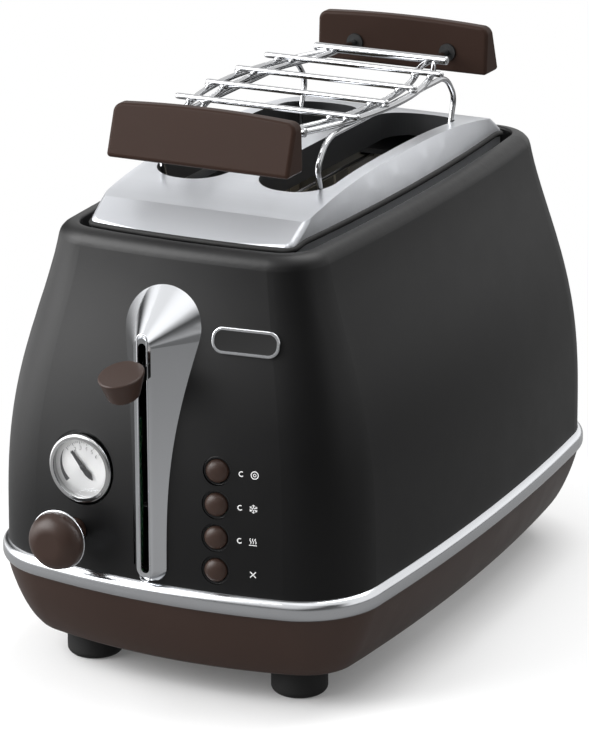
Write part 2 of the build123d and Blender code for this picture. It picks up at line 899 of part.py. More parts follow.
# Lever trim: a ridge with the slot in it, whose flanks spread back to the shell
trim_reach = 36.0
trim_spread = -degrees(atan(trim_slope))
ridge_length = trim_high - trim_low + 2 * (trim_ridge_half - slot_ridge_half)
trim_middle = (trim_low + trim_high) / 2
hollow_half = trim_ridge_half + trim_slope * trim_wall - trim_wall / cos(atan(trim_slope))
with BuildPart() as lever_trim:
    with BuildSketch(Plane.XZ.offset(-trim_ridge_along)):
        with Locations((0, trim_middle)):
            SlotOverall(ridge_length, 2 * trim_ridge_half, rotation=90)
    extrude(amount=-trim_reach, taper=trim_spread)
    with BuildSketch(Plane.XZ.offset(-trim_ridge_along - trim_wall)):
        with Locations((0, trim_middle)):
            SlotOverall(
                ridge_length - 2 * (trim_ridge_half - hollow_half), 2 * hollow_half, rotation=90
            )
    extrude(amount=-trim_reach, taper=trim_spread, mode=Mode.SUBTRACT)
    with BuildSketch(Plane.XZ.offset(-trim_ridge_along + 1)):
        with Locations((0, trim_middle)):
            SlotOverall(trim_high - trim_low, 2 * slot_ridge_half, rotation=90)
    extrude(amount=-trim_reach, mode=Mode.SUBTRACT)
    add(shell_outside, mode=Mode.SUBTRACT)
    split(bisect_by=Plane.XY.offset(trim_foot), keep=Keep.TOP)

write(lever_trim.part, "lever_trim")


def reach_to(plane, board):
    """Distance from a plane's origin back to a board that is parallel to it."""
    return (plane.origin - board.origin).dot(board.z_dir)


# Circuit board behind the buttons, standing on the tub floor, with one switch per button
board_wall = 1.6
board_half = 16.0
board_rise = 124.0
switch_size = 6.0
button_board = button_normal.offset(-button_depth)
with BuildPart() as circuit_board:
    with BuildSketch(button_board):
        with Locations((0, -board_rise / 4)):
            Rectangle(2 * board_half, board_rise)
    extrude(amount=-board_wall)
    split(bisect_by=Plane.XY.offset(floor_level), keep=Keep.TOP)
    for plane in button_planes:
        with BuildSketch(plane.offset(-reach_to(plane, button_board))):
            Rectangle(switch_size, switch_size)
        extrude(amount=switch_rise)

write(circuit_board.part, "circuit_board")

# Button frame behind the shell: a plate with a collar round each button, on three posts
frame_back = 5.4
frame_wall = 2.0
frame_half = 9.0
frame_rise = (len(button_names) - 1) * button_pitch + 2 * frame_half
post_across = 6.0
frame_plane = button_normal.offset(-frame_back)
with BuildPart() as button_frame:
    with BuildSketch(frame_plane):
        RectangleRounded(2 * frame_half, frame_rise, frame_half / 3)
    extrude(amount=frame_wall)
    for plane in button_planes:
        drop = reach_to(plane, frame_plane)
        with BuildSketch(plane.offset(-drop)):
            Circle(button_collar / 2 - slip_gap / 2)
        extrude(amount=drop - button_recess)
    for plane in button_planes:
        drop = reach_to(plane, frame_plane)
        with BuildSketch(plane.offset(-drop - 1)):
            Circle(button_diameter / 2 + slip_gap)
        extrude(amount=drop + 1, mode=Mode.SUBTRACT)
    with BuildSketch(button_board):
        with Locations(
            (-post_across, button_pitch), (-post_across, -button_pitch), (post_across, 0)
        ):
            Circle(board_wall)
    extrude(amount=button_depth - frame_back)

write(button_frame.part, "button_frame")

# Push buttons: a dome, a flange that stops behind the frame, and a stem towards its switch
flange_wall = 1.2
flange_radius = button_diameter / 2 + 1
for plane, name in zip(button_planes, button_names):
    drop = reach_to(plane, frame_plane) + slip_gap
    stem_end = reach_to(plane, button_board) - switch_rise - button_travel - slip_gap
    with BuildPart() as button:
        with BuildSketch(plane.offset(-drop)):
            Circle(button_diameter / 2)
        extrude(amount=drop + button_proud)
        crown = button.faces().sort_by_distance(plane.offset(button_proud).origin)[0]
        fillet(crown.edges(), button_proud - running_clearance)
        with BuildSketch(plane.offset(-drop)):
            Circle(flange_radius)
        extrude(amount=-flange_wall)
        with BuildSketch(plane.offset(-drop)):
            Circle(stem_diameter / 2)
        extrude(amount=drop - stem_end)
    write(button.part, name)

# Control board behind the gauge and the browning knob, with the knob's potentiometer
control_board_plane = knob_plane.offset(-control_depth)
control_half = 17.0
pot_radius = 8.5
pot_depth = 9.0
with BuildPart() as control_board:
    with BuildSketch(control_board_plane):
        with Locations((0, gauge_height - knob_height - board_rise / 2 + control_half)):
            Rectangle(2 * control_half, board_rise)
    extrude(amount=-board_wall)
    split(bisect_by=Plane.XY.offset(floor_level), keep=Keep.TOP)

write(control_board.part, "control_board")

with BuildPart() as browning_pot:
    with BuildSketch(control_board_plane):
        Circle(pot_radius)
    extrude(amount=pot_depth)
    with BuildSketch(control_board_plane.offset(pot_depth)):
        Circle(shaft_diameter / 2 + 1)
    extrude(amount=pot_depth / 2)
    with BuildSketch(control_board_plane):
        Circle(shaft_diameter / 2 + running_clearance)
    extrude(amount=2 * pot_depth, mode=Mode.SUBTRACT)

write(browning_pot.part, "browning_pot")

# Gauge: a cup on the control board, then dial, needle, lens and the ring round them
cup_wall = 2.0
pin_radius = 0.6
with BuildPart() as gauge_cup:
    cup_depth = reach_to(gauge_plane, control_board_plane)
    with BuildSketch(gauge_plane.offset(-cup_depth)):
        Circle(cup_radius)
    extrude(amount=cup_depth + cup_level)
    with BuildSketch(gauge_plane.offset(-cup_depth)):
        Circle(cup_radius - cup_wall)
    extrude(amount=cup_depth + cup_level - cup_wall, mode=Mode.SUBTRACT)
    with BuildSketch(gauge_plane.offset(-cup_depth)):
        Circle(pin_radius + running_clearance)
    extrude(amount=cup_depth, mode=Mode.SUBTRACT)

write(gauge_cup.part, "gauge_cup")

with BuildPart() as gauge_dial:
    with BuildSketch(gauge_plane.offset(cup_level)):
        Circle(gauge_opening / 2 + lens_overlap)
        Circle(pin_radius + running_clearance, mode=Mode.SUBTRACT)
    extrude(amount=dial_wall)

write(gauge_dial.part, "gauge_dial")

# The needle is a flat bar with a kinked tail
gauge_axis = Axis(gauge_plane.origin, gauge_plane.z_dir)
needle_plane = Plane(
    origin=gauge_plane.offset(needle_level).origin,
    x_dir=gauge_plane.x_dir.rotate(gauge_axis, needle_angle),
    z_dir=gauge_plane.z_dir,
)
with BuildPart() as gauge_needle:
    with BuildSketch(needle_plane):
        with BuildLine():
            Polyline(
                (-needle_half, needle_length - needle_half),
                (needle_half, needle_length),
                (needle_half, needle_half),
                (needle_tail / 2, 0),
                (needle_tail / 2, -needle_tail),
                (-needle_half, -needle_half),
                close=True,
            )
        make_face()
    extrude(amount=needle_wall)
    with BuildSketch(needle_plane):
        Circle(pin_radius)
    extrude(amount=cup_level - needle_level - 2 * cup_wall)

write(gauge_needle.part, "gauge_needle")

with BuildPart() as gauge_lens:
    with BuildSketch(gauge_plane.offset(lens_level)):
        Circle(gauge_opening / 2 + lens_overlap)
    extrude(amount=lens_wall)

write(gauge_lens.part, "gauge_lens")

with BuildPart() as gauge_bezel:
    with BuildSketch(gauge_plane.offset(cup_level)):
        Circle(gauge_diameter / 2)
    extrude(amount=gauge_proud - cup_level)
    crown = gauge_bezel.faces().sort_by_distance(gauge_plane.offset(gauge_proud).origin)[0]
    fillet(crown.edges(), gauge_edge_round)
    with BuildSketch(gauge_plane.offset(cup_level)):
        Circle(gauge_opening / 2)
    extrude(amount=gauge_proud - cup_level, mode=Mode.SUBTRACT)
    with BuildSketch(gauge_plane.offset(cup_level)):
        Circle(gauge_opening / 2 + lens_overlap + press_gap)
    extrude(amount=lens_level + lens_wall + press_gap - cup_level, mode=Mode.SUBTRACT)

write(gauge_bezel.part, "gauge_bezel")

# Browning knob: a dome on a hub whose shaft turns in the potentiometer, with a ring behind it
with BuildPart() as browning_knob:
    with BuildSketch(knob_plane.offset(knob_standoff + knob_ring_wall)):
        Circle(knob_diameter / 2)
    extrude(amount=knob_dome)
    crown = browning_knob.faces().sort_by_distance(
        knob_plane.offset(knob_standoff + knob_ring_wall + knob_dome).origin
    )[0]
    fillet(crown.edges(), knob_crown_round)
    with BuildSketch(knob_plane.offset(-shell_wall)):
        Circle(hub_radius)
    extrude(amount=shell_wall + knob_standoff + knob_ring_wall)
    with BuildSketch(control_board_plane.offset(slip_gap)):
        Circle(shaft_diameter / 2)
    extrude(amount=control_depth)

write(browning_knob.part, "browning_knob")

with BuildPart() as knob_ring:
    with BuildSketch(knob_plane.offset(knob_standoff)):
        Circle(knob_diameter / 2 + knob_ring_proud)
        Circle(hub_radius + press_gap, mode=Mode.SUBTRACT)
    extrude(amount=knob_ring_wall)

write(knob_ring.part, "knob_ring")

# Bare plate on the front, with a raised rim round a sunk field
badge_plane = wall_plane(badge_across, badge_height)
with BuildPart() as badge_plate:
    with BuildSketch(badge_plane.offset(-badge_proud)):
        RectangleRounded(badge_width, badge_tall, badge_corner)
    extrude(amount=2 * badge_proud)
    crown = badge_plate.faces().sort_by_distance(badge_plane.offset(badge_proud).origin)[0]
    fillet(crown.edges(), badge_edge_round)
    with BuildSketch(badge_plane.offset(badge_proud)):
        RectangleRounded(
            badge_width - 2 * badge_rim, badge_tall - 2 * badge_rim, badge_corner - badge_rim
        )
    extrude(amount=-badge_field_depth, mode=Mode.SUBTRACT)
    add(shell_outside, mode=Mode.SUBTRACT)

write(badge_plate.part, "badge_plate")

# Crumb tray: an open pan that slides in over the tub floor, behind a handle in the rear wall
tray_level = floor_level + slip_gap
tray_middle = (tray_front + tray_back) / 2
with BuildPart() as crumb_tray:
    with BuildSketch(Plane.XY.offset(tray_level)):
        with Locations((0, tray_middle)):
            Rectangle(2 * tray_half, tray_back - tray_front)
    extrude(amount=tray_rise)
    with BuildSketch(Plane.XY.offset(tray_level + tray_wall)):
        with Locations((0, tray_middle)):
            Rectangle(2 * (tray_half - tray_wall), tray_back - tray_front - 2 * tray_wall)
    extrude(amount=tray_rise, mode=Mode.SUBTRACT)

write(crumb_tray.part, "crumb_tray")

scoop_width = 46.0
scoop_height = 11.0
scoop_wall = 4.0
with BuildPart() as tray_handle:
    with BuildSketch(Plane.XZ.offset(-tray_back)):
        with Locations((0, floor_level + bay_height / 2)):
            Rectangle(2 * tray_half, bay_height - 2 * slip_gap)
    extrude(amount=-body_half_length)
    add(tub_outside, mode=Mode.INTERSECT)
    with BuildSketch(Plane.XZ.offset(-tray_back - scoop_wall)):
        with Locations((0, floor_level + bay_height / 2)):
            RectangleRounded(scoop_width, scoop_height, scoop_height / 3)
    extrude(amount=-body_half_length, mode=Mode.SUBTRACT)

write(tray_handle.part, "tray_handle")

# Cord inlet: a sleeve through the rear wall of the tub
inlet_normal = Axis((inlet_across, 300, inlet_height), (0, -1, 0))
inlet_face = tub_outside.find_intersection_points(inlet_normal)[0][0].Y
inlet_front = inlet_face - 3 * tub_wall
inlet_back = inlet_face + 1.5 * tub_wall
with BuildPart() as cord_grommet:
    with BuildSketch(Plane.XZ.offset(-inlet_front)):
        with Locations((inlet_across, inlet_height)):
            Circle(inlet_flange)
    extrude(amount=inlet_front - inlet_back)
    add(tub_outside, mode=Mode.SUBTRACT)
    with BuildSketch(Plane.XZ.offset(-inlet_front)):
        with Locations((inlet_across, inlet_height)):
            Circle(inlet_neck)
    extrude(amount=inlet_front - inlet_back)
    with BuildSketch(Plane.XZ.offset(-inlet_front)):
        with Locations((inlet_across, inlet_height)):
            Circle(inlet_bore)
    extrude(amount=inlet_front - inlet_back, mode=Mode.SUBTRACT)

write(cord_grommet.part, "cord_grommet")

# Bun rack: the two end rods, and the cross wires between them
with BuildPart() as rack_rods:
    with BuildSketch(Plane.YZ.offset(rack_across - rod_half)):
        with Locations((rack_along - rod_reach, rod_height), (rack_along + rod_reach, rod_height)):
            Circle(rod_wire / 2)
    extrude(amount=2 * rod_half)
    fillet(rack_rods.edges().filter_by(GeomType.CIRCLE), rod_wire / 5)

write(rack_rods.part, "rack_rods")

with BuildPart() as rack_cross_wires:
    with BuildSketch(Plane.YZ.offset(rack_across - cross_half)):
        with Locations((rack_along, cross_height)):
            with GridLocations(cross_pitch, 0, 4, 1):
                Circle(wire / 2)
    extrude(amount=2 * cross_half)
    fillet(rack_cross_wires.edges().filter_by(GeomType.CIRCLE), wire / 5)

write(rack_cross_wires.part, "rack_cross_wires")

# Rails: the outer pair are arcs between the end rods, the inner pair bend back to the handles
outer_turn = asin(rod_reach / rail_bend)
outer_end = outer_rail_half - rail_bend * (1 - cos(outer_turn))
inner_turn = acos(1 - (inner_rail_half - inner_rail_end) / (rail_bend + rail_return_bend))
bend_reach = (rail_bend + rail_return_bend) * sin(inner_turn)
rail_reach = handle_foot_near + socket_depth - 1
with BuildPart() as rack_rails:
    for side in (-1, 1):
        with BuildLine(Plane.XY.offset(rail_height)):
            outer_path = ThreePointArc(
                (rack_across + side * outer_end, rack_along - rod_reach),
                (rack_across + side * outer_rail_half, rack_along),
                (rack_across + side * outer_end, rack_along + rod_reach),
            )
        with BuildSketch(Plane(origin=outer_path @ 0, z_dir=outer_path % 0)):
            Circle(wire / 2)
        sweep()
        with BuildLine(Plane.XY.offset(rail_height)):
            end_across = rack_across + side * inner_rail_end
            run_in = Line((end_across, rack_along - rail_reach), (end_across, rack_along - bend_reach))
            bend = side * degrees(inner_turn)
            swing_out = JernArc(run_in @ 1, run_in % 1, rail_return_bend, -bend)
            middle_arc = JernArc(swing_out @ 1, swing_out % 1, rail_bend, 2 * bend)
            swing_in = JernArc(middle_arc @ 1, middle_arc % 1, rail_return_bend, -bend)
            Line(swing_in @ 1, (end_across, rack_along + rail_reach))
        with BuildSketch(Plane(origin=run_in @ 0, z_dir=run_in % 0)):
            Circle(wire / 2)
        sweep()
    add(rack_rods.part, mode=Mode.SUBTRACT)

write(rack_rails.part, "rack_rails")

# Legs: a wire loop on each side, flared just above the panel, with its feet in the slot
leg_points = []
for reach, height in leg_profile:
    leg_points.append((rack_along - reach, height))
for reach, height in reversed(leg_profile):
    leg_points.append((rack_along + reach, height))
leg_bends = leg_radii + tuple(reversed(leg_radii))
with BuildPart() as rack_legs:
    for side in (-1, 1):
        with BuildLine(Plane.YZ.offset(rack_across + side * leg_across)):
            leg_path = FilletPolyline(*leg_points, radius=leg_bends)
        with BuildSketch(Plane(origin=leg_path @ 0, z_dir=leg_path % 0)):
            Circle(leg_wire / 2)
        sweep()

write(rack_legs.part, "rack_legs")

# Handles: blocks that narrow upwards, with a blind hole for each rail's socket
socket_front = rack_along + handle_foot_near - socket_proud
with BuildPart() as rack_handle_rear:
    with BuildSketch(Plane.YZ.offset(rack_across - handle_half)):
        with BuildLine():
            Polyline(
                (rack_along + handle_foot_near, handle_low),
                (rack_along + handle_foot_far, handle_low),
                (rack_along + handle_crown_far, handle_high),
                (rack_along + handle_crown_near, handle_high),
                close=True,
            )
        make_face()
    extrude(amount=2 * handle_half)
    with BuildSketch(Plane.XZ.offset(-rack_along)):
        with BuildLine():
            left = rack_across - handle_half
            right = rack_across + handle_half
            shoulder = handle_high - handle_arch
            ThreePointArc((left, shoulder), (rack_across, handle_high), (right, shoulder))
            Polyline((right, shoulder), (right, handle_low), (left, handle_low), (left, shoulder))
        make_face()
    extrude(amount=-2 * handle_foot_far, mode=Mode.INTERSECT)
    shoulders = rack_handle_rear.edges().filter_by(Axis.Y, tolerance=20).group_by(Axis.Z)[-1]
    fillet(shoulders, handle_corner)
    fillet(rack_handle_rear.edges(), handle_round)
    with BuildSketch(Plane.XZ.offset(-socket_front)):
        with Locations((rack_across, rail_height)):
            with GridLocations(2 * inner_rail_end, 0, 2, 1):
                Circle(socket_diameter / 2 + press_gap)
    extrude(amount=-socket_depth - press_gap, mode=Mode.SUBTRACT)

rack_handle_front = rack_handle_rear.part.mirror(Plane.XZ.offset(-rack_along))
write(rack_handle_rear.part, "rack_handle_rear")
write(rack_handle_front, "rack_handle_front")

# Sockets: four sleeves in the handles that take the ends of the inner rails
with BuildPart() as rack_sockets:
    for side in (-1, 1):
        with BuildSketch(Plane.XZ.offset(-rack_along - side * (socket_front - rack_along))):
            with Locations((rack_across, rail_height)):
                with GridLocations(2 * inner_rail_end, 0, 2, 1):
                    Circle(socket_diameter / 2)
                    Circle(wire / 2 + press_gap, mode=Mode.SUBTRACT)
        extrude(amount=-side * socket_depth)

write(rack_sockets.part, "rack_sockets")
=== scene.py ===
"""Looks of a two-slot retro toaster with a lift-off bun rack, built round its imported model.

Lengths are in metres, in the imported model's frame: the controls face -Y and Z points up.
"""

import bmesh
import bpy
import json
from math import cos, pi, radians, sin, tau
from mathutils import Matrix, Vector
from mathutils.bvhtree import BVHTree


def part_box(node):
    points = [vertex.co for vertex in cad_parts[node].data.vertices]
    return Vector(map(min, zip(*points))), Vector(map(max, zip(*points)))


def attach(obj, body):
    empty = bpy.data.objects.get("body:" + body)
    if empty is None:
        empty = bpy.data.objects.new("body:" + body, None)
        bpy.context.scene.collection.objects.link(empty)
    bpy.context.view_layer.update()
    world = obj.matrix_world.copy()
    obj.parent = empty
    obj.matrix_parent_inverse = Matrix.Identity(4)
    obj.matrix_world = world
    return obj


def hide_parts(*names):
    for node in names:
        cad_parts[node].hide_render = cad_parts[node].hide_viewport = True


bl_info = {
    "name": "Retro toaster",
    "version": (1, 0, 0),
    "blender": (4, 5, 0),
    "location": "3D View > Sidebar > Toaster",
    "description": "Finishes, printed marks, wires and studio for a retro toaster",
    "category": "Object",
}

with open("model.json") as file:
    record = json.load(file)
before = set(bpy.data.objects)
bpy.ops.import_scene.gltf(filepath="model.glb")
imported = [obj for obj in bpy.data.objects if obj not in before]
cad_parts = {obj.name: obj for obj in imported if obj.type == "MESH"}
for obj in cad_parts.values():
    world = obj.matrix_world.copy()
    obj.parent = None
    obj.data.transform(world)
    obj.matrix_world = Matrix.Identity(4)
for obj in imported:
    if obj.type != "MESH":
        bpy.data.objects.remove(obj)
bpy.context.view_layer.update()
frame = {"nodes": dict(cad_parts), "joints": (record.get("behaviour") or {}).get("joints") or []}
MM = 0.001
BUTTONS = ("cancel_button", "reheat_button", "defrost_button", "bagel_button")

# Meshes: points closer than this are one, and edges below these angles, in degrees, are smooth
SAME_POINT = 0.0002 * MM
FLAT_SMOOTH = 35.0
ROUND_SMOOTH = 60.0

# Search for the bread slot from above, and its corner radius as a share of its half width
SLOT_STEP = 0.1 * MM
SLOT_CLEARANCE = 10 * MM
PANEL_EDGE = 8 * MM
SLOT_CORNER = 0.92

# Panel: where its duller ends with painted shade, its flanks with a painted sheen and the painted shade
# inside its slots begin and fade
SATIN_SHADE_LENGTH = 30 * MM
SATIN_SHADE_FADE = 16 * MM
FLANK_SHEEN_START = 9 * MM
FLANK_SHEEN_FADE = 12 * MM
COLLAR_SHADE_EDGE = 0.25 * MM
COLLAR_SHADE_FADE = 0.3 * MM

# Black bead round the panel's foot, a painted shadow of the gap at the rim: above the shell's rim, and
# dipping at the panel's two toes
GAP_SHADE_RISE = 0.6 * MM
GAP_SHADE_DROP = 1.6 * MM
GAP_SHADE_RADIUS = 1.3 * MM
GAP_SHADE_STEPS = 720
TOE_LENGTH = 10 * MM

# Bead round the lever's slot
RIDGE_DEPTH = 0.3 * MM
RIDGE_REACH = 2.4 * MM
MOUTH_EDGE = 0.05 * MM
SLOT_BEAD_OFFSET = 0.28 * MM
SLOT_BEAD_RADIUS = 0.34 * MM

# Enamel in the plate's sunk field: insets and heights in mm, from its wall inwards
FIELD_FLATNESS = 0.02 * MM
FIELD_RINGS = ((0.0, 0.28), (0.14, 0.17), (0.34, 0.12), (0.8, 0.1))

# Dial: where the painted shade at its rim begins and how it fades
DIAL_SHADE_START = 10.9 * MM
DIAL_SHADE_FADE = 1.6 * MM

# Marks printed on the dial and the shell, and the dial's arc of painted shade with its ends in degrees
INK_LIFT = 0.05 * MM
INK_SINK = 0.05 * MM
TICK_WIDTH = 0.16 * MM
NUMBER_INSET = 3.1 * MM
SHADE_RISE = 0.3 * MM
SHADE_THIN = 0.1 * MM
SHADE_THICK = 2.1 * MM
SHADE_ENDS = (148.0, 222.0)
LONG_TICK_EVERY = 4
LONG_TICK_EXTRA = 0.8
FIGURE_SCALE = 1.4
SHELL_CLEARANCE = 30 * MM
LAMP_ACROSS = 10.6 * MM
SIGN_ACROSS = 16.4 * MM

# Needle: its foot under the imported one's top, its turn in degrees, the shares by which the blade's
# rings narrow and their heights in mm, and the cap's radii and heights in mm
NEEDLE_DEPTH = 0.5 * MM
NEEDLE_TURN = 16.0
BLADE_RINGS = ((0.0, 0.0), (0.0, 0.3), (0.3, 0.48))
CAP_FOOT = 0.2 * MM
CAP_RINGS = ((1.25, 0.3), (1.25, 0.5), (1.1, 0.62), (0.8, 0.72), (0.4, 0.78), (0.1, 0.8))

# Domed buttons and their stems, the lips of their collars, and the bead on the knob's ring
STEM_LENGTH = 10.8 * MM
SKIRT_DEPTH = 4.0 * MM
DOME_RISE = 3.0 * MM
BROKEN_EDGE = 0.3 * MM
STEM_FILLET = 0.6 * MM
STEM_END = 1.0 * MM
COLLAR_REACH = 7.0 * MM
COLLAR_LIP_RADIUS = 6.0 * MM
COLLAR_LIP_THICKNESS = 0.34 * MM
RING_BEAD_SINK = 0.3 * MM
RING_BEAD_INSET = 0.12 * MM
RING_BEAD_THICKNESS = 0.36 * MM

# Bun rack: points closer than these belong to one wire or rail; drop as a share of the wire's radius
WIRE_GAP = 6 * MM
RAIL_GAP = 3 * MM
WELD_DROP = 0.95
WELD_SEED = 7

# Screws in the bottom plate, which turn on from one to the next, and the lip on the cord's inlet
SCREW_INSET = 3.4 * MM
SCREW_HEIGHT = 1.2 * MM
SCREW_RADIUS = 2.6 * MM
SCREW_SINK = 0.1 * MM
SCREW_TURN = 0.7
INLET_LIP_INSET = 1.0 * MM
INLET_LIP_THICKNESS = 0.7 * MM
INLET_LIP_SINK = 0.1 * MM

# Studio: half sizes of the floor and of the shadow's core, lights, and the photograph's framing
FLOOR_REACH = 6.0
SHADOW_REACH = 0.07
SHADOW_RISE = 0.13
KEY_PLACE = (-1.3, -1.15, 1.35)
KEY_SIZE = 1.7
TOP_PLACE = (0.3, 0.6, 1.6)
TOP_SIZE = 1.1
LIT_POINT = (0.0, 0.0, 0.1)
TARGET = (0.0, 0.01545, 0.1)
WHITE = (1.0, 1.0, 1.0, 1.0)
IMAGE_HEIGHT = 740
PIXELS_LEFT = 10.33
PIXELS_UP = 11.63
SENSOR_WIDTH = 36.0


# Node trees


def add_node(tree, kind, sockets=None, **settings):
    """Add a node: its settings first, then a value or a link for each of its sockets."""
    node = tree.nodes.new(kind)
    for name, value in settings.items():
        setattr(node, name, value)
    for name, value in (sockets or {}).items():
        if isinstance(value, Signal):
            tree.links.new(value.socket, node.inputs[name])
        else:
            node.inputs[name].default_value = value
    return node


class Signal:
    """A node's output that can be used in arithmetic."""

    def __init__(self, tree, socket):
        self.tree = tree
        self.socket = socket

    def math(self, operation, *others, clamp=False):
        sockets = dict(enumerate((self, *others)))
        node = add_node(self.tree, "ShaderNodeMath", sockets, operation=operation, use_clamp=clamp)
        return Signal(self.tree, node.outputs[0])

    def flipped(self, operation, other):
        node = add_node(self.tree, "ShaderNodeMath", {0: other, 1: self}, operation=operation)
        return Signal(self.tree, node.outputs[0])

    def __add__(self, other):
        return self.math("ADD", other)

    def __sub__(self, other):
        return self.math("SUBTRACT", other)

    def __mul__(self, other):
        return self.math("MULTIPLY", other)

    def __truediv__(self, other):
        return self.math("DIVIDE", other)

    def __neg__(self):
        return self.math("MULTIPLY", -1.0)

    __radd__ = __add__
    __rmul__ = __mul__

    def __rsub__(self, other):
        return self.flipped("SUBTRACT", other)

    def __rtruediv__(self, other):
        return self.flipped("DIVIDE", other)

    def above(self, level, softness):
        """0 below the level and 1 above it, with a soft step between."""
        return ((self - level) / softness + 0.5).math("ADD", 0.0, clamp=True)


def hypotenuse(x, y):
    """Distance of a place from the origin."""
    return (x * x + y * y).math("SQRT")


def outside(across, along, reach, rise):
    """Distance of a place from a rectangle about the origin, given half its width and length."""
    past_side = (across.math("ABSOLUTE") - reach).math("MAXIMUM", 0.0)
    past_end = (along.math("ABSOLUTE") - rise).math("MAXIMUM", 0.0)
    return hypotenuse(past_side, past_end)


class Nodes:
    """A node tree whose nodes' outputs come as signals."""

    def __init__(self, tree):
        self.tree = tree

    def node(self, kind, sockets=None, output=0, **settings):
        made = add_node(self.tree, kind, sockets, **settings)
        return Signal(self.tree, made.outputs[output])

    def rays(self):
        """Which light is seen by the camera, in a reflection and through glass."""
        path = add_node(self.tree, "ShaderNodeLightPath")
        kinds = ("Camera", "Glossy", "Transmission")
        return [Signal(self.tree, path.outputs[f"Is {kind} Ray"]) for kind in kinds]


class Finish(Nodes):
    """One procedural material and the ways to add to its nodes."""

    def __init__(self, name):
        self.material = bpy.data.materials.new(name)
        self.material.use_nodes = True
        super().__init__(self.material.node_tree)
        self.tree.nodes.clear()
        self.place = self.node("ShaderNodeTexCoord", output="Object")

    def stretched(self, scale, turn=(0.0, 0.0, 0.0)):
        """Object coordinates, turned and then scaled along each axis."""
        return self.node("ShaderNodeMapping", {"Vector": self.place, "Rotation": turn, "Scale": scale})

    def noise(self, scale, detail, where=None, roughness=0.5):
        sockets = {"Vector": where or self.place, "Scale": scale, "Detail": detail, "Roughness": roughness}
        return self.node("ShaderNodeTexNoise", sockets)

    def cells(self, scale, output="Distance", **settings):
        return self.node("ShaderNodeTexVoronoi", {"Vector": self.place, "Scale": scale}, output, **settings)

    def along(self, direction, centre=(0.0, 0.0, 0.0)):
        """Distance from a centre, measured along a direction."""
        moved = self.node("ShaderNodeVectorMath", {0: self.place, 1: centre}, operation="SUBTRACT")
        return self.node("ShaderNodeVectorMath", {0: moved, 1: direction}, "Value", operation="DOT_PRODUCT")

    def mixed(self, share, first, second):
        sockets = {"Factor": share, 6: first, 7: second}
        return self.node("ShaderNodeMix", sockets, 2, data_type="RGBA", clamp_factor=True)

    def shaded(self, share, colour, dark, light):
        """One colour between a darker and a lighter strength."""
        return self.mixed(share, tint(colour, dark), tint(colour, light))

    def bump(self, height, strength, distance):
        sockets = {"Strength": strength, "Distance": distance, "Height": height}
        return self.node("ShaderNodeBump", sockets, "Normal")

    def surface(self, **sockets):
        """Finish the material with one surface shader and return the material."""
        titles = [name.replace("_", " ").title().replace("Ior", "IOR") for name in sockets]
        return self.end(self.node("ShaderNodeBsdfPrincipled", dict(zip(titles, sockets.values()))))

    def end(self, shader):
        add_node(self.tree, "ShaderNodeOutputMaterial", {"Surface": shader})
        return self.material


def tint(colour, share):
    """A colour made lighter or darker by a share, opaque."""
    return (*(min(1.0, part * share) for part in colour[:3]), 1.0)


# Finishes


def enamel_finish(colour):
    """Matt black enamel: fine orange peel, faint cloudiness and handling marks."""
    paint = Finish("matt_black_enamel")
    peel = paint.noise(900.0, 3.0)
    cloud = paint.noise(11.0, 4.0)
    handled = paint.noise(38.0, 5.0, roughness=0.65).above(0.55, 0.35)
    return paint.surface(
        base_color=paint.shaded(cloud, colour, 0.86, 1.16),
        roughness=0.38 + cloud * 0.06 + handled * 0.04,
        specular_ior_level=0.27,
        normal=paint.bump(peel, 0.12, 0.0001),
    )


def moulded_finish(name, colour, grain, roughness, lift, shine=0.24):
    """Moulded plastic with a spark-eroded grain, flow clouds and a polished touch on high spots."""
    plastic = Finish(name)
    pits = plastic.cells(grain)
    fine = plastic.noise(grain * 1.7, 2.0)
    flow = plastic.noise(23.0, 3.0, plastic.stretched((1.0, 0.45, 1.6)))
    worn = plastic.noise(60.0, 4.0).above(0.6, 0.3)
    return plastic.surface(
        base_color=plastic.shaded(flow, colour, 0.88, lift),
        roughness=roughness + flow * 0.06 - worn * 0.05,
        specular_ior_level=shine,
        normal=plastic.bump(pits + fine * 0.6, 0.14, 0.00009),
    )


def chrome_finish(name, colour, roughness):
    """Bright plating: mirror smooth, with wiping haze and very fine ripples."""
    plating = Finish(name)
    haze = plating.noise(19.0, 5.0, roughness=0.6)
    wiped = plating.noise(55.0, 3.0, plating.stretched((1.0, 1.0, 0.18), (0.0, 0.5, 0.3)))
    ripple = plating.noise(120.0, 1.0)
    return plating.surface(
        base_color=plating.shaded(haze, colour, 0.95, 1.03),
        metallic=1.0,
        roughness=roughness + haze * 0.04 + wiped * 0.03,
        normal=plating.bump(ripple, 0.05, 0.00012),
    )


def brushed_finish(name, colour, roughness, lines):
    """Metal brushed lengthways: long thin lines, with uneven pressure across them."""
    metal = Finish(name)
    lengthways = (0.0, 0.0, pi / 2)
    line = metal.noise(lines, 3.0, metal.stretched((0.025, 1.0, 0.03), lengthways), 0.7)
    pressure = metal.noise(9.0, 3.0, metal.stretched((0.3, 1.0, 0.3), lengthways))
    haze = metal.noise(21.0, 4.0)
    return metal.surface(
        base_color=metal.shaded(line, colour, 0.93, 1.05),
        metallic=1.0,
        roughness=roughness + line * 0.05 + pressure * 0.04 + haze * 0.03,
        normal=metal.bump(line, 0.04, 0.00002),
    )


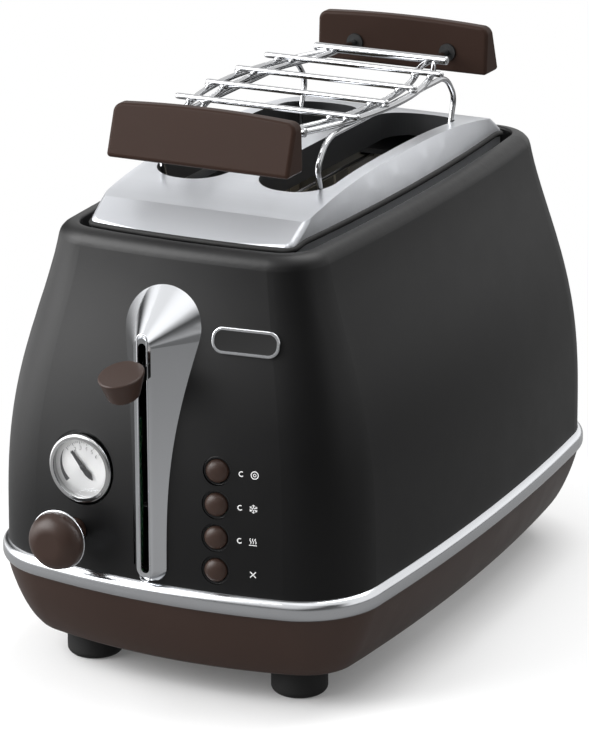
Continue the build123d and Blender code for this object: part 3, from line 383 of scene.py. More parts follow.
def panel_finish(colour):
    """Polished steel panel with painted shade: duller and darker at its two ends, near black inside its slot
    collars, and a painted sheen lighting its flanks.
    """
    metal = Finish("satin_top_panel")
    line = metal.noise(700.0, 3.0, metal.stretched((0.025, 1.0, 0.03)), 0.7)
    haze = metal.noise(21.0, 4.0)
    low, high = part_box("top_panel")
    across = metal.along((1.0, 0.0, 0.0)).math("ABSOLUTE")
    along = metal.along((0.0, 1.0, 0.0))
    middle, reach, rise, corner = slot_outline()
    away = outside(across - middle.x, along - middle.y, reach - corner, rise - corner) - corner
    # Painted shade: the collar walls inside the slots are darkened nearly to black
    inside = 1.0 - away.above(COLLAR_SHADE_EDGE, COLLAR_SHADE_FADE)
    # Painted shade at the two ends: a darker colour, with more roughness and less metal
    end = (along - (low.y + high.y) / 2).math("ABSOLUTE") - (high.y - low.y) / 2
    satin_and_shade = end.above(-SATIN_SHADE_LENGTH, SATIN_SHADE_FADE)
    # Painted sheen: the flanks are lighter and less metallic
    flank_sheen = across.above(middle.x + reach + FLANK_SHEEN_START, FLANK_SHEEN_FADE)
    silver = metal.shaded(line, colour, 0.95, 1.05)
    silver = metal.mixed(satin_and_shade, silver, tint(colour, 0.76))
    silver = metal.mixed(flank_sheen * (1.0 - satin_and_shade), silver, tint(colour, 1.3))
    return metal.surface(
        base_color=metal.mixed(inside, silver, tint(colour, 0.085)),
        metallic=(0.85 - satin_and_shade * 0.15 - flank_sheen * 0.3) * (1.0 - inside * 0.6),
        roughness=0.27 + satin_and_shade * 0.1 + line * 0.04 + haze * 0.012,
        normal=metal.bump(line, 0.04, 0.00002),
    )


def plated_finish(colour):
    """Zinc plate: cells of slightly different brightness and dull patches."""
    plate = Finish("zinc_plate")
    grey = plate.node("ShaderNodeSeparateColor", {0: plate.cells(190.0, "Color")})
    dull = plate.noise(33.0, 4.0)
    return plate.surface(
        base_color=plate.shaded(grey * 0.6 + dull * 0.4, colour, 0.8, 1.15),
        metallic=1.0,
        roughness=0.32 + grey * 0.1 + dull * 0.1,
        normal=plate.bump(dull, 0.08, 0.0001),
    )


def mica_finish(colour):
    """Pressed mica sheet: overlapping flakes with bright and brown patches."""
    sheet = Finish("pressed_mica")
    flake = sheet.cells(150.0, feature="SMOOTH_F1")
    patch = sheet.noise(70.0, 5.0)
    scorched = sheet.noise(16.0, 3.0).above(0.56, 0.3)
    pale = sheet.shaded(flake * 0.6 + patch * 0.5, colour, 0.7, 1.2)
    return sheet.surface(
        base_color=sheet.mixed(scorched * 0.5, pale, (0.2, 0.13, 0.07, 1.0)),
        roughness=0.34 + patch * 0.2,
        normal=sheet.bump(flake, 0.2, 0.0002),
    )


def ribbon_finish(colour):
    """Resistance ribbon: grey metal with straw and blue oxide bands."""
    ribbon = Finish("resistance_ribbon")
    heat = ribbon.noise(48.0, 4.0)
    drawn = ribbon.noise(700.0, 2.0, ribbon.stretched((1.0, 0.05, 1.0)))
    straw = ribbon.mixed(heat.above(0.5, 0.3), tint(colour, 1.0), (0.34, 0.25, 0.15, 1.0))
    return ribbon.surface(
        base_color=ribbon.mixed(heat.above(0.64, 0.16), straw, (0.2, 0.22, 0.3, 1.0)),
        metallic=1.0,
        roughness=0.36 + heat * 0.15,
        normal=ribbon.bump(drawn, 0.1, 0.00005),
    )


def board_finish(colour):
    """Circuit board: solder mask over copper tracks, with tinned pads."""
    board = Finish("solder_mask_board")
    upright = board.stretched((1.0, 1.0, 1.0), (pi / 2, 0.0, 0.0))
    layout = {"Vector": upright, "Scale": 60.0, "Brick Width": 0.9, "Row Height": 0.22}
    layout |= {"Mortar Size": 0.035, "Mortar Smooth": 0.2}
    tracks = board.node("ShaderNodeTexBrick", layout, "Fac", offset=0.37)
    pads = 1.0 - board.cells(170.0).above(0.16, 0.03)
    cloud = board.noise(80.0, 3.0)
    tracked = board.mixed(tracks * 0.6, board.shaded(cloud, colour, 0.8, 1.15), (0.16, 0.34, 0.12, 1.0))
    return board.surface(
        base_color=board.mixed(pads, tracked, (0.62, 0.62, 0.6, 1.0)),
        metallic=pads,
        roughness=0.35 + cloud * 0.1 - pads * 0.1,
        normal=board.bump(tracks + pads, 0.3, 0.00015),
    )


def rubber_finish(level):
    """Soft black rubber of a grey level: dry, with a fine matt skin and faint bloom."""
    rubber = Finish("soft_black_rubber")
    skin = rubber.noise(1600.0, 3.0)
    bloom = rubber.noise(27.0, 4.0)
    return rubber.surface(
        base_color=rubber.shaded(bloom, (level, level, level), 0.8, 1.5),
        roughness=0.62 + bloom * 0.15,
        specular_ior_level=0.35,
        normal=rubber.bump(skin, 0.2, 0.0001),
    )


def dial_finish(colour, plane):
    """Spun silver dial: fine rings about its centre, two soft fans of painted highlight, and painted shade
    darkening its rim.
    """
    dial = Finish("spun_dial")
    turn = plane.to_3x3()
    x = dial.along(turn @ Vector((1.0, 0.0, 0.0)), plane.translation)
    y = dial.along(turn @ Vector((0.0, 1.0, 0.0)), plane.translation)
    radius = hypotenuse(x, y)
    spun = dial.noise(5200.0, 2.0, dial.node("ShaderNodeCombineXYZ", {0: radius}))
    # Painted highlight: two soft bright fans, where a spun dial would catch the light
    fan_highlight = (y.math("ARCTAN2", x) * 2.0 + 0.6).math("COSINE") * 0.5 + 0.5
    # Painted shade: the dial darkens towards its rim, beside the bezel
    edge = radius.above(DIAL_SHADE_START, DIAL_SHADE_FADE)
    silver = dial.shaded(fan_highlight * 0.55 + spun * 0.3, colour, 0.8, 1.15)
    return dial.surface(
        base_color=dial.mixed(edge * 0.35, silver, tint(colour, 0.5)),
        metallic=0.25,
        roughness=0.34 + spun * 0.12,
        normal=dial.bump(spun, 0.08, 0.00003),
    )


def lens_finish(colour):
    """Clear window: almost nothing but its reflection, stronger at a glancing angle."""
    glass = Finish("clear_window")
    facing = glass.node("ShaderNodeLayerWeight", {"Blend": 0.12}, "Fresnel")
    smear = glass.noise(90.0, 3.0)
    return glass.surface(
        base_color=glass.shaded(smear, colour, 0.97, 1.0),
        metallic=1.0,
        roughness=0.02 + smear * 0.02,
        alpha=(facing * 0.85 + 0.05).math("ADD", 0.0, clamp=True),
    )


def painted_finish(name, colour, roughness):
    """A thin coat of paint or printing ink, slightly uneven in cover."""
    ink = Finish(name)
    cover = ink.noise(420.0, 3.0)
    cloud = ink.noise(90.0, 2.0)
    return ink.surface(
        base_color=ink.shaded(cover * 0.6 + cloud * 0.4, colour, 0.86, 1.1),
        roughness=roughness + cover * 0.1,
        normal=ink.bump(cover, 0.05, 0.00003),
    )


# Pieces and their meshes


def object_from(name, data):
    made = bpy.data.objects.new(name, data)
    bpy.context.scene.collection.objects.link(made)
    return made


def mesh_from(name, points, faces):
    mesh = bpy.data.meshes.new(name)
    mesh.from_pydata(points, [], faces)
    mesh.update()
    return mesh


def plain_mesh(holder):
    """Mesh of a text or of an object with a modifier; the object itself goes."""
    bpy.context.view_layer.update()
    graph = bpy.context.evaluated_depsgraph_get()
    mesh = bpy.data.meshes.new_from_object(holder.evaluated_get(graph))
    holder.modifiers.clear()
    bpy.data.objects.remove(holder)
    return mesh


def settle(name, mesh, material, body, slot, replaced=(), smooth_below=FLAT_SMOOTH):
    """Turn a mesh into a finished piece: clean, facing outwards, shaded, and riding on its body."""
    work = bmesh.new()
    work.from_mesh(mesh)
    bmesh.ops.remove_doubles(work, verts=work.verts, dist=SAME_POINT)
    bmesh.ops.recalc_face_normals(work, faces=work.faces)
    for face in work.faces:
        face.smooth = True
    limit = radians(smooth_below)
    for edge in work.edges:
        edge.smooth = len(edge.link_faces) == 2 and edge.calc_face_angle(pi) < limit
    work.to_mesh(mesh)
    work.free()
    piece = object_from(name, mesh)
    mesh.materials.clear()
    mesh.materials.append(material)
    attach(piece, body)
    if replaced:
        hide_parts(*replaced)


def laid(name, skin, plane, *settling, **more):
    """Settle a skin of points and faces that is drawn on a plane."""
    mesh = mesh_from(name, *skin)
    mesh.transform(plane)
    settle(name, mesh, *settling, **more)


def give(material, *names):
    """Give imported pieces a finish."""
    for name in names:
        piece = frame["nodes"][name]
        if not piece.material_slots:
            piece.data.materials.append(material)
        for held in piece.material_slots:
            held.material = material


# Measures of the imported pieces


def points_of(name):
    return [vertex.co.copy() for vertex in frame["nodes"][name].data.vertices]


def shape_of(name):
    """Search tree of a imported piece's surface."""
    faces = [tuple(face.vertices) for face in frame["nodes"][name].data.polygons]
    return BVHTree.FromPolygons(points_of(name), faces)


def middle_of(name):
    low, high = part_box(name)
    return (low + high) / 2


def outward_axis(body):
    """Direction of a body's joint that points out of the front."""
    axis = next(Vector(joint["axis"]) for joint in frame["joints"] if joint["child"] == body).normalized()
    return axis if axis.y < 0 else -axis


def off_axis(point, origin, direction):
    """Distance of a point from a line."""
    away = point - origin
    return (away - direction * away.dot(direction)).length


def plane_matrix(origin, outward):
    """Matrix of a plane at an origin, with X level, Y up and Z outwards."""
    across = Vector((0.0, 0.0, 1.0)).cross(outward).normalized()
    up = outward.cross(across)
    turn = Matrix((across, up, outward)).transposed().to_4x4()
    return Matrix.Translation(origin) @ turn


def front_plane(name):
    """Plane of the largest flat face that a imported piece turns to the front, at its middle."""
    areas = {}
    for face in frame["nodes"][name].data.polygons:
        if face.normal.y < -0.5:
            key = tuple(round(part, 3) for part in face.normal)
            areas.setdefault(key, []).append(face)
    flat = max(areas.values(), key=lambda faces: sum(face.area for face in faces))
    area = sum(face.area for face in flat)
    middle = sum((face.center * face.area for face in flat), Vector()) / area
    outward = sum((face.normal * face.area for face in flat), Vector()).normalized()
    return plane_matrix(middle, outward)


def slot_outline():
    """Middle, half width, half length and corner radius of the right bread slot, found from above."""
    low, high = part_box("top_panel")
    surface = shape_of("top_panel")
    down = Vector((0.0, 0.0, -1.0))

    def open_run(start, heading, length):
        """Ends of the places along a line at which nothing lies below."""
        points = [start + heading * SLOT_STEP * place for place in range(int(length / SLOT_STEP))]
        free = [point for point in points if surface.ray_cast(point, down)[0] is None]
        return free[0], free[-1]

    middle = Vector((0.0, (low.y + high.y) / 2, high.z + SLOT_CLEARANCE))
    left, right = open_run(middle, Vector((1.0, 0.0, 0.0)), high.x - PANEL_EDGE)
    middle.x = (left.x + right.x) / 2
    reach = (right.x - left.x) / 2
    start = Vector((middle.x, low.y + SLOT_CLEARANCE, middle.z))
    length = high.y - low.y - 2 * SLOT_CLEARANCE
    front, rear = open_run(start, Vector((0.0, 1.0, 0.0)), length)
    middle.y = (front.y + rear.y) / 2
    return middle, reach, (rear.y - front.y) / 2, reach * SLOT_CORNER


def seen_from(plane, name):
    """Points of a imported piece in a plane's own coordinates."""
    to_plane = plane.inverted()
    return [to_plane @ point for point in points_of(name)]


def clusters(values, gap):
    """Middles of groups of values that lie within a gap of each other."""
    groups = []
    for value in sorted(values):
        if groups and value - groups[-1][-1] < gap:
            groups[-1].append(value)
        else:
            groups.append([value])
    return [(group[0] + group[-1]) / 2 for group in groups]


# Outlines, skins and marks


def arc(radius, start, end, steps, centre=(0.0, 0.0)):
    """Points on an arc, with its angles in degrees."""
    turns = [radians(start + (end - start) * step / steps) for step in range(steps + 1)]
    return [(centre[0] + radius * cos(turn), centre[1] + radius * sin(turn)) for turn in turns]


def circle(radius, steps):
    """Points on a whole circle, none of them twice."""
    return arc(radius, 0.0, 360.0 - 360.0 / steps, steps - 1)


def stadium(reach, rise, steps=16):
    """Outline with round ends, half its width and height given."""
    centre = reach - rise
    right = arc(rise, -90.0, 90.0, steps, (centre, 0.0))
    return right + arc(rise, 90.0, 270.0, steps, (-centre, 0.0))


def stacked(rings, floor):
    """Skin from a floor, which has the first ring's outline, up through rings and over the last one."""
    count = len(rings[0])
    points = [point for ring in rings for point in ring]
    points += [(x, y, floor) for x, y, _ in rings[0]]
    foot = len(rings) * count
    faces = [list(range(foot - count, foot)), [foot + place for place in reversed(range(count))]]
    runs = [(foot, 0)] + [(level * count, (level + 1) * count) for level in range(len(rings) - 1)]
    for low, high in runs:
        for place in range(count):
            after = (place + 1) % count
            faces.append([low + place, low + after, high + after, high + place])
    return points, faces


def turned(profile, steps=56):
    """Closed skin of a profile of radii and heights, turned about Z; radius 0 makes a pole."""
    points = []
    rings = []
    for radius, rise in profile:
        outline = circle(radius, steps) if radius > 1e-7 else [(0.0, 0.0)]
        rings.append(range(len(points), len(points) + len(outline)))
        points += [(x, y, rise) for x, y in outline]
    faces = []
    for low, high in zip(rings, rings[1:]):
        for place in range(steps):
            after = (place + 1) % steps
            corners = [low[place % len(low)], low[after % len(low)]]
            corners += [high[after % len(high)], high[place % len(high)]]
            faces.append(list(dict.fromkeys(corners)))
    return points, faces


def stroke(path, width, closed=False):
    """Flat ribbon of even width along a path in the plane, as points and faces."""
    count = len(path)
    points = []
    for place, (x, y) in enumerate(path):
        before = path[place - 1] if place or closed else path[0]
        after = path[(place + 1) % count] if place < count - 1 or closed else path[-1]
        heading = Vector((after[0] - before[0], after[1] - before[1])).normalized()
        side = Vector((-heading.y, heading.x)) * width / 2
        points += [(x + side.x, y + side.y), (x - side.x, y - side.y)]
    faces = []
    for run in range(count if closed else count - 1):
        near = 2 * run
        far = 2 * ((run + 1) % count)
        faces.append((near, near + 1, far + 1, far))
    return points, faces


def tapered_arc(radius, thin, thick, start, end, steps=24):
    """Arc that widens inwards from its start to its end, as points and faces."""
    points = []
    for step in range(steps + 1):
        share = step / steps
        turn = radians(start + (end - start) * share)
        inner = radius - thin - (thick - thin) * share
        points += [(radius * cos(turn), radius * sin(turn)), (inner * cos(turn), inner * sin(turn))]
    faces = [(2 * step, 2 * step + 2, 2 * step + 3, 2 * step + 1) for step in range(steps)]
    return points, faces


def printed(marks):
    """Thin closed solid under flat marks: height 0 is the surface they are printed on."""
    points = []
    faces = []
    for flat_points, flat_faces in marks:
        top = len(points)
        bottom = top + len(flat_points)
        points += [(x, y, INK_LIFT) for x, y in flat_points]
        points += [(x, y, -INK_SINK) for x, y in flat_points]
        for face in flat_faces:
            faces.append([top + corner for corner in face])
            faces.append([bottom + corner for corner in reversed(face)])
        edges = [edge for face in flat_faces for edge in zip(face, face[1:] + face[:1])]
        for first, second in edges:
            if (second, first) not in edges:
                faces.append([top + second, top + first, bottom + first, bottom + second])
    return points, faces


def wrapped(points, plane, surface):
    """Points laid on a curved surface: x and y in the plane, z above the surface."""
    laid_points = []
    outward = plane.to_3x3() @ Vector((0.0, 0.0, 1.0))
    for x, y, lift in points:
        start = plane @ Vector((x, y, 0.0)) + outward * SHELL_CLEARANCE
        hit, normal, _, _ = surface.ray_cast(start, -outward)
        if hit is None:
            raise RuntimeError("a printed mark lies outside the surface it is printed on")
        laid_points.append(hit + normal * (lift if normal.dot(outward) >= 0 else -lift))
    return laid_points


def figure_mesh(text, height, thickness):
    """Mesh of a number, centred on the origin and lying in the plane."""
    curve = bpy.data.curves.new(f"figure_{text}", "FONT")
    curve.body = text
    curve.size = height * FIGURE_SCALE
    curve.align_x = "CENTER"
    curve.align_y = "CENTER"
    curve.extrude = thickness / 2
    curve.resolution_u = 4
    return plain_mesh(object_from(f"figure_{text}", curve))


# Geometry trees


def grow(name, points, tree, sizes, material, edges=()):
    """Run a geometry tree on points, joined by edges if given, and return its result as a plain mesh."""
    start = bpy.data.meshes.new(name)
    start.from_pydata(points, list(edges), [])
    seed = object_from(name, start)
    modifier = seed.modifiers.new("Growth", "NODES")
    modifier.node_group = tree
    inputs = {**sizes, "Material": material}
    for item in tree.interface.items_tree:
        if item.item_type == "SOCKET" and item.in_out == "INPUT" and item.name in inputs:
            modifier[item.identifier] = inputs[item.name]
    mesh = plain_mesh(seed)
    if not mesh.polygons:
        raise RuntimeError(f"the geometry of {name} came out empty")
    return mesh


def grown(name, points, tree, sizes, material, body, slot, edges=(), **more):
    """Grow a piece and settle it."""
    settle(name, grow(name, points, tree, sizes, material, edges), material, body, slot, **more)


def bead(name, outline, radius, material, slot):
    """A round bead on the body along a closed outline."""
    count = len(outline)
    loop = [(place, (place + 1) % count) for place in range(count)]
    sizes = {"Thickness": radius}
    grown(
        name, outline, bead_tree(), sizes, material, "toaster_body", slot,
        edges=loop, smooth_below=ROUND_SMOOTH,
    )


def lips(name, places, outward, radius, thickness, material, body, slot):
    """Round lips of one size on some places, all facing one way."""
    facing = tuple(plane_matrix(Vector(), outward).to_euler())
    sizes = {"Radius": radius, "Thickness": thickness, "Facing": facing}
    grown(name, places, lip_tree(), sizes, material, body, slot, smooth_below=ROUND_SMOOTH)


class Growth(Nodes):
    """A geometry tree with named sizes that ends in real geometry with a material."""

    kinds = {int: "NodeSocketInt", float: "NodeSocketFloat", tuple: "NodeSocketVector"}

    def __init__(self, name, sizes):
        super().__init__(bpy.data.node_groups.new(name, "GeometryNodeTree"))
        interface = self.tree.interface
        interface.new_socket("Geometry", in_out="INPUT", socket_type="NodeSocketGeometry")
        for size, value in sizes.items():
            socket = interface.new_socket(size, in_out="INPUT", socket_type=self.kinds[type(value)])
            socket.default_value = value
        interface.new_socket("Material", in_out="INPUT", socket_type="NodeSocketMaterial")
        interface.new_socket("Geometry", in_out="OUTPUT", socket_type="NodeSocketGeometry")
        inlet = self.tree.nodes.new("NodeGroupInput")
        self.start, *self.sizes, self.material = (
            Signal(self.tree, inlet.outputs[given]) for given in ("Geometry", *sizes, "Material")
        )

    def vector(self, x=0.0, y=0.0, z=0.0):
        return self.node("ShaderNodeCombineXYZ", {0: x, 1: y, 2: z})

    def index(self):
        return self.node("GeometryNodeInputIndex")

    def random(self, low, high, seed):
        return self.node("FunctionNodeRandomValue", {2: low, 3: high, "Seed": seed}, 1, data_type="FLOAT")

    def moved(self, points, position):
        return self.node("GeometryNodeSetPosition", {"Geometry": points, "Position": position})

    def tube(self, curve, radius, resolution, scale=1.0, caps=False):
        """A round section swept along a curve."""
        section = self.node("GeometryNodeCurvePrimitiveCircle", {"Resolution": resolution, "Radius": radius})
        sockets = {"Curve": curve, "Profile Curve": section, "Scale": scale, "Fill Caps": caps}
        return self.node("GeometryNodeCurveToMesh", sockets)

    def on_points(self, instance, points=None, **placing):
        """End the tree with an instance on each point, turned and scaled as given."""
        sockets = {"Points": points or self.start, "Instance": instance, **placing}
        return self.end(self.node("GeometryNodeInstanceOnPoints", sockets))

    def end(self, geometry):
        real = self.node("GeometryNodeRealizeInstances", {"Geometry": geometry})
        done = self.node("GeometryNodeSetMaterial", {"Geometry": real, "Material": self.material})
        add_node(self.tree, "NodeGroupOutput", {"Geometry": done})
        return self.tree


def round_wire_tree():
    """A straight wire along X on each point, with domed ends."""
    growth = Growth("Domed wires", {"Half Length": 0.05, "Radius": 0.001, "Rings": 49})
    half, radius, rings = growth.sizes
    line = growth.node("GeometryNodeMeshLine", {"Count": rings})
    place = (growth.index() / (rings - 1.0) * 2.0 - 1.0) * (pi / 2)
    reach = place.math("SINE") * half
    curve = growth.node("GeometryNodeMeshToCurve", {"Mesh": growth.moved(line, growth.vector(x=reach))})
    past = (reach.math("ABSOLUTE") - (half - radius)).math("MAXIMUM", 0.0)
    dome = (radius * radius - past * past).math("MAXIMUM", 0.0).math("SQRT") / radius
    return growth.on_points(growth.tube(curve, radius, 24, dome.math("MAXIMUM", 0.02), True))


def weld_bead_tree():
    """A low rounded bead of weld metal on each point, each turned and sized a little differently."""
    growth = Growth("Weld beads", {"Radius": 0.001, "Flatness": 0.6, "Seed": 7})
    radius, flatness, seed = growth.sizes
    ball = growth.node("GeometryNodeMeshUVSphere", {"Segments": 20, "Rings": 12, "Radius": radius})
    turn = growth.random(0.0, tau, seed)
    size = growth.random(0.88, 1.08, seed + 1.0)
    scale = growth.vector(size * 1.15, size, size * flatness)
    return growth.on_points(ball, Rotation=growth.vector(z=turn), Scale=scale)


def cross_screw_tree():
    """A pan-head screw with a cross recess on each point, its head pointing down."""
    growth = Growth("Cross screws", {"Radius": 0.003, "Height": 0.0015, "Turn": 0.4})
    radius, height, turn = growth.sizes
    shape = {"Radius Top": radius, "Radius Bottom": radius * 0.82, "Depth": height}
    head = growth.node("GeometryNodeMeshCone", {"Vertices": 32, "Side Segments": 3, **shape})
    long_cut = growth.vector(radius * 1.15, radius * 0.26, height)
    cross_cut = growth.vector(radius * 0.26, radius * 1.15, height)
    first = growth.node("GeometryNodeMeshCube", {"Size": long_cut})
    second = growth.node("GeometryNodeMeshCube", {"Size": cross_cut})
    cross = growth.node("GeometryNodeMeshBoolean", {"Mesh 2": first}, operation="UNION")
    growth.tree.links.new(second.socket, cross.socket.node.inputs["Mesh 2"])
    down = growth.vector(z=height * -0.45)
    sunk = growth.node("GeometryNodeTransform", {"Geometry": cross, "Translation": down})
    cut = growth.node("GeometryNodeMeshBoolean", {"Mesh 1": head, "Mesh 2": sunk}, operation="DIFFERENCE")
    return growth.on_points(cut, Rotation=growth.vector(z=growth.index() * turn))


def tick_tree():
    """Radial ticks about the origin, with every few of them longer."""
    sizes = {"Count": 25, "Radius": 0.01, "Length": 0.001, "Width": 0.0003, "Thickness": 0.0001}
    sizes |= {"Start": 0.0, "Sweep": 3.0, "Long Every": 4, "Long Extra": 0.8}
    growth = Growth("Dial ticks", sizes)
    count, radius, length, width, thickness, start, sweep, long_every, long_extra = growth.sizes
    bar = growth.node("GeometryNodeMeshCube", {"Size": growth.vector(length, width, thickness)})
    line = growth.node("GeometryNodeMeshLine", {"Count": count})
    index = growth.index()
    angle = start + sweep * index / (count - 1.0)
    long_tick = 1.0 - index.math("MODULO", long_every).math("MINIMUM", 1.0)
    stretch = 1.0 + long_tick * long_extra
    middle = radius - length * stretch * 0.5
    spot = growth.vector(angle.math("COSINE") * middle, angle.math("SINE") * middle)
    scale = growth.vector(stretch, 1.0 + long_tick * 0.5, 1.0)
    return growth.on_points(bar, growth.moved(line, spot), Rotation=growth.vector(z=angle), Scale=scale)


def bead_tree():
    """A round bead along the edges that join the points."""
    growth = Growth("Slot bead", {"Thickness": 0.0003})
    curve = growth.node("GeometryNodeMeshToCurve", {"Mesh": growth.start})
    return growth.end(growth.tube(curve, growth.sizes[0], 14))


def lip_tree():
    """A round lip facing one way, one on each point."""
    growth = Growth("Collar lips", {"Radius": 0.006, "Thickness": 0.0003, "Facing": (0.0, 0.0, 0.0)})
    radius, thickness, facing = growth.sizes
    ring = growth.node("GeometryNodeCurvePrimitiveCircle", {"Resolution": 72, "Radius": radius})
    return growth.on_points(growth.tube(ring, thickness, 14), Rotation=facing)


# Settings


def colour_setting(name, description, default):
    return bpy.props.FloatVectorProperty(
        name=name, description=description, subtype="COLOR", default=default, min=0.0, max=1.0
    )


def count_setting(name, description, default, low, high):
    return bpy.props.IntProperty(name=name, description=description, default=default, min=low, max=high)


def length_setting(name, description, default):
    return bpy.props.FloatProperty(name=name, description=description, default=default, unit="LENGTH")


def angle_setting(name, description, degrees):
    return bpy.props.FloatProperty(
        name=name, description=description, default=radians(degrees), subtype="ANGLE"
    )


def power_setting(name, description, default):
    return bpy.props.FloatProperty(
        name=name, description=description, default=default, min=0.0, unit="POWER"
    )


class FinishSettings(bpy.types.PropertyGroup):
    """Colours of the toaster's finishes."""

    enamel: colour_setting("Enamel", "Colour of the body's enamel", (0.0026, 0.0026, 0.0028))
    brown: colour_setting("Brown plastic", "Colour of knobs, handles and base", (0.031, 0.0175, 0.0132))
    black: colour_setting("Black plastic", "Colour of trough, collars and cup", (0.011, 0.011, 0.0115))
    chrome: colour_setting("Chrome", "Colour of band, trim and plate", (0.77, 0.785, 0.81))
    steel: colour_setting("Steel", "Colour of the top panel", (0.6, 0.615, 0.645))
    wire: colour_setting("Wire", "Colour of the polished wires", (0.5, 0.505, 0.515))
    zinc: colour_setting("Zinc", "Colour of the plated parts and the tray", (0.46, 0.465, 0.47))
    mica: colour_setting("Mica", "Colour of the mica boards", (0.55, 0.5, 0.4))
    dial: colour_setting("Dial", "Colour of the gauge's dial and bezel", (0.93, 0.935, 0.94))
    ink: colour_setting("White ink", "Colour of the marks beside the buttons", (0.72, 0.72, 0.72))
    dark_ink: colour_setting("Dark ink", "Colour of the dial's marks", (0.05, 0.05, 0.055))


class DialSettings(bpy.types.PropertyGroup):
    """Sizes of the marks on the gauge's dial."""

    ticks: count_setting("Ticks", "Number of ticks on the dial", 21, 3, 60)
    numbers: count_setting("Numbers", "Highest number on the dial", 6, 2, 9)
    radius: length_setting("Ring radius", "Radius at the outer ends of the ticks", 11.3 * MM)
    tick_length: length_setting("Tick length", "Length of a short tick", 0.8 * MM)
    number_height: length_setting("Number height", "Height of the numbers", 1.9 * MM)
    sweep: angle_setting("Sweep", "Angle between the first tick and the last", 100.0)


class RackSettings(bpy.types.PropertyGroup):
    """Sizes of the wires and welds on the bun rack."""

    rings: count_setting("Rings", "Rings along a cross wire", 49, 9, 201)
    bead_radius: length_setting("Bead radius", "Radius of a weld bead", 1.75 * MM)
    bead_flatness: bpy.props.FloatProperty(
        name="Bead flatness", description="Height of a bead as a share of its width",
        default=0.75, subtype="FACTOR", min=0.1, max=1.0,
    )


class StudioSettings(bpy.types.PropertyGroup):
    """The camera and the light of the studio."""

    azimuth: angle_setting("Azimuth", "How far the camera stands to the right of the front", 26.21)
    elevation: angle_setting("Elevation", "How far the camera looks down", 18.29)
    distance: length_setting("Distance", "From the camera to the middle of the toaster", 1.6735)
    focal_length: bpy.props.FloatProperty(
        name="Focal length", description="Focal length on a 36 mm sensor, in millimetres",
        default=180.74, subtype="DISTANCE_CAMERA",
    )
    daylight: bpy.props.FloatProperty(
        name="Room light", description="Strength of the even light from all round",
        default=0.58, min=0.0,
    )
    key_power: power_setting("Key light", "Power of the large soft light at the left", 55.0)
    top_power: power_setting("Top light", "Power of the soft light overhead", 18.0)


# Steps of the toaster's making


class ToasterOperator:
    """What every step of the toaster's making shares."""

    bl_options = {"REGISTER", "UNDO"}


class TOASTER_OT_body(ToasterOperator, bpy.types.Operator):
    """Finish the shell, the base, the band and the feet"""

    bl_idname = "toaster.body"
    bl_label = "Body and base"

    def execute(self, context):
        finishes = context.scene.toaster_finishes
        give(enamel_finish(finishes.enamel), "body_shell")
        give(moulded_finish("satin_brown_base", finishes.brown, 2400.0, 0.36, 1.1), "base_tub")
        give(chrome_finish("bright_chrome_band", tint(finishes.chrome, 0.9), 0.15), "chrome_band")
        give(rubber_finish(0.006), "feet")
        give(moulded_finish("matt_black_trough", finishes.black, 2000.0, 0.5, 1.3), "top_surround")
        return {"FINISHED"}


class TOASTER_OT_top(ToasterOperator, bpy.types.Operator):
    """Finish the arched panel with the bread slots and lay a black bead round its foot as a painted shadow
    """

    bl_idname = "toaster.top"
    bl_label = "Top panel"

    def execute(self, context):
        finishes = context.scene.toaster_finishes
        give(panel_finish(finishes.steel), "top_panel")
        # The black bead paints the shadow in the gap between the panel and the rim
        self.seal(rubber_finish(0.004))
        return {"FINISHED"}

    def seal(self, black):
        """A black bead round the panel's foot, where it meets the trough: a painted shadow standing for the
        dark gap there.
        """
        low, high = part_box("top_panel")
        surface = shape_of("top_panel")
        middle = middle_of("top_panel")
        middle.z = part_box("body_shell")[1].z + GAP_SHADE_RISE
        length = high.y - low.y
        outline = []
        for step in range(GAP_SHADE_STEPS):
            turn = tau * step / GAP_SHADE_STEPS
            outward = Vector((cos(turn), sin(turn), 0.0))
            start = middle + outward * length
            hit = surface.ray_cast(start, -outward)[0]
            toe = (abs(hit.y - middle.y) - length / 2) / TOE_LENGTH
            start.z -= GAP_SHADE_DROP * min(max(toe + 1.4, 0.0), 1.0)
            outline.append(surface.ray_cast(start, -outward)[0] or hit)
        bead("panel_gap_shade", outline, GAP_SHADE_RADIUS, black, "black_plastic")


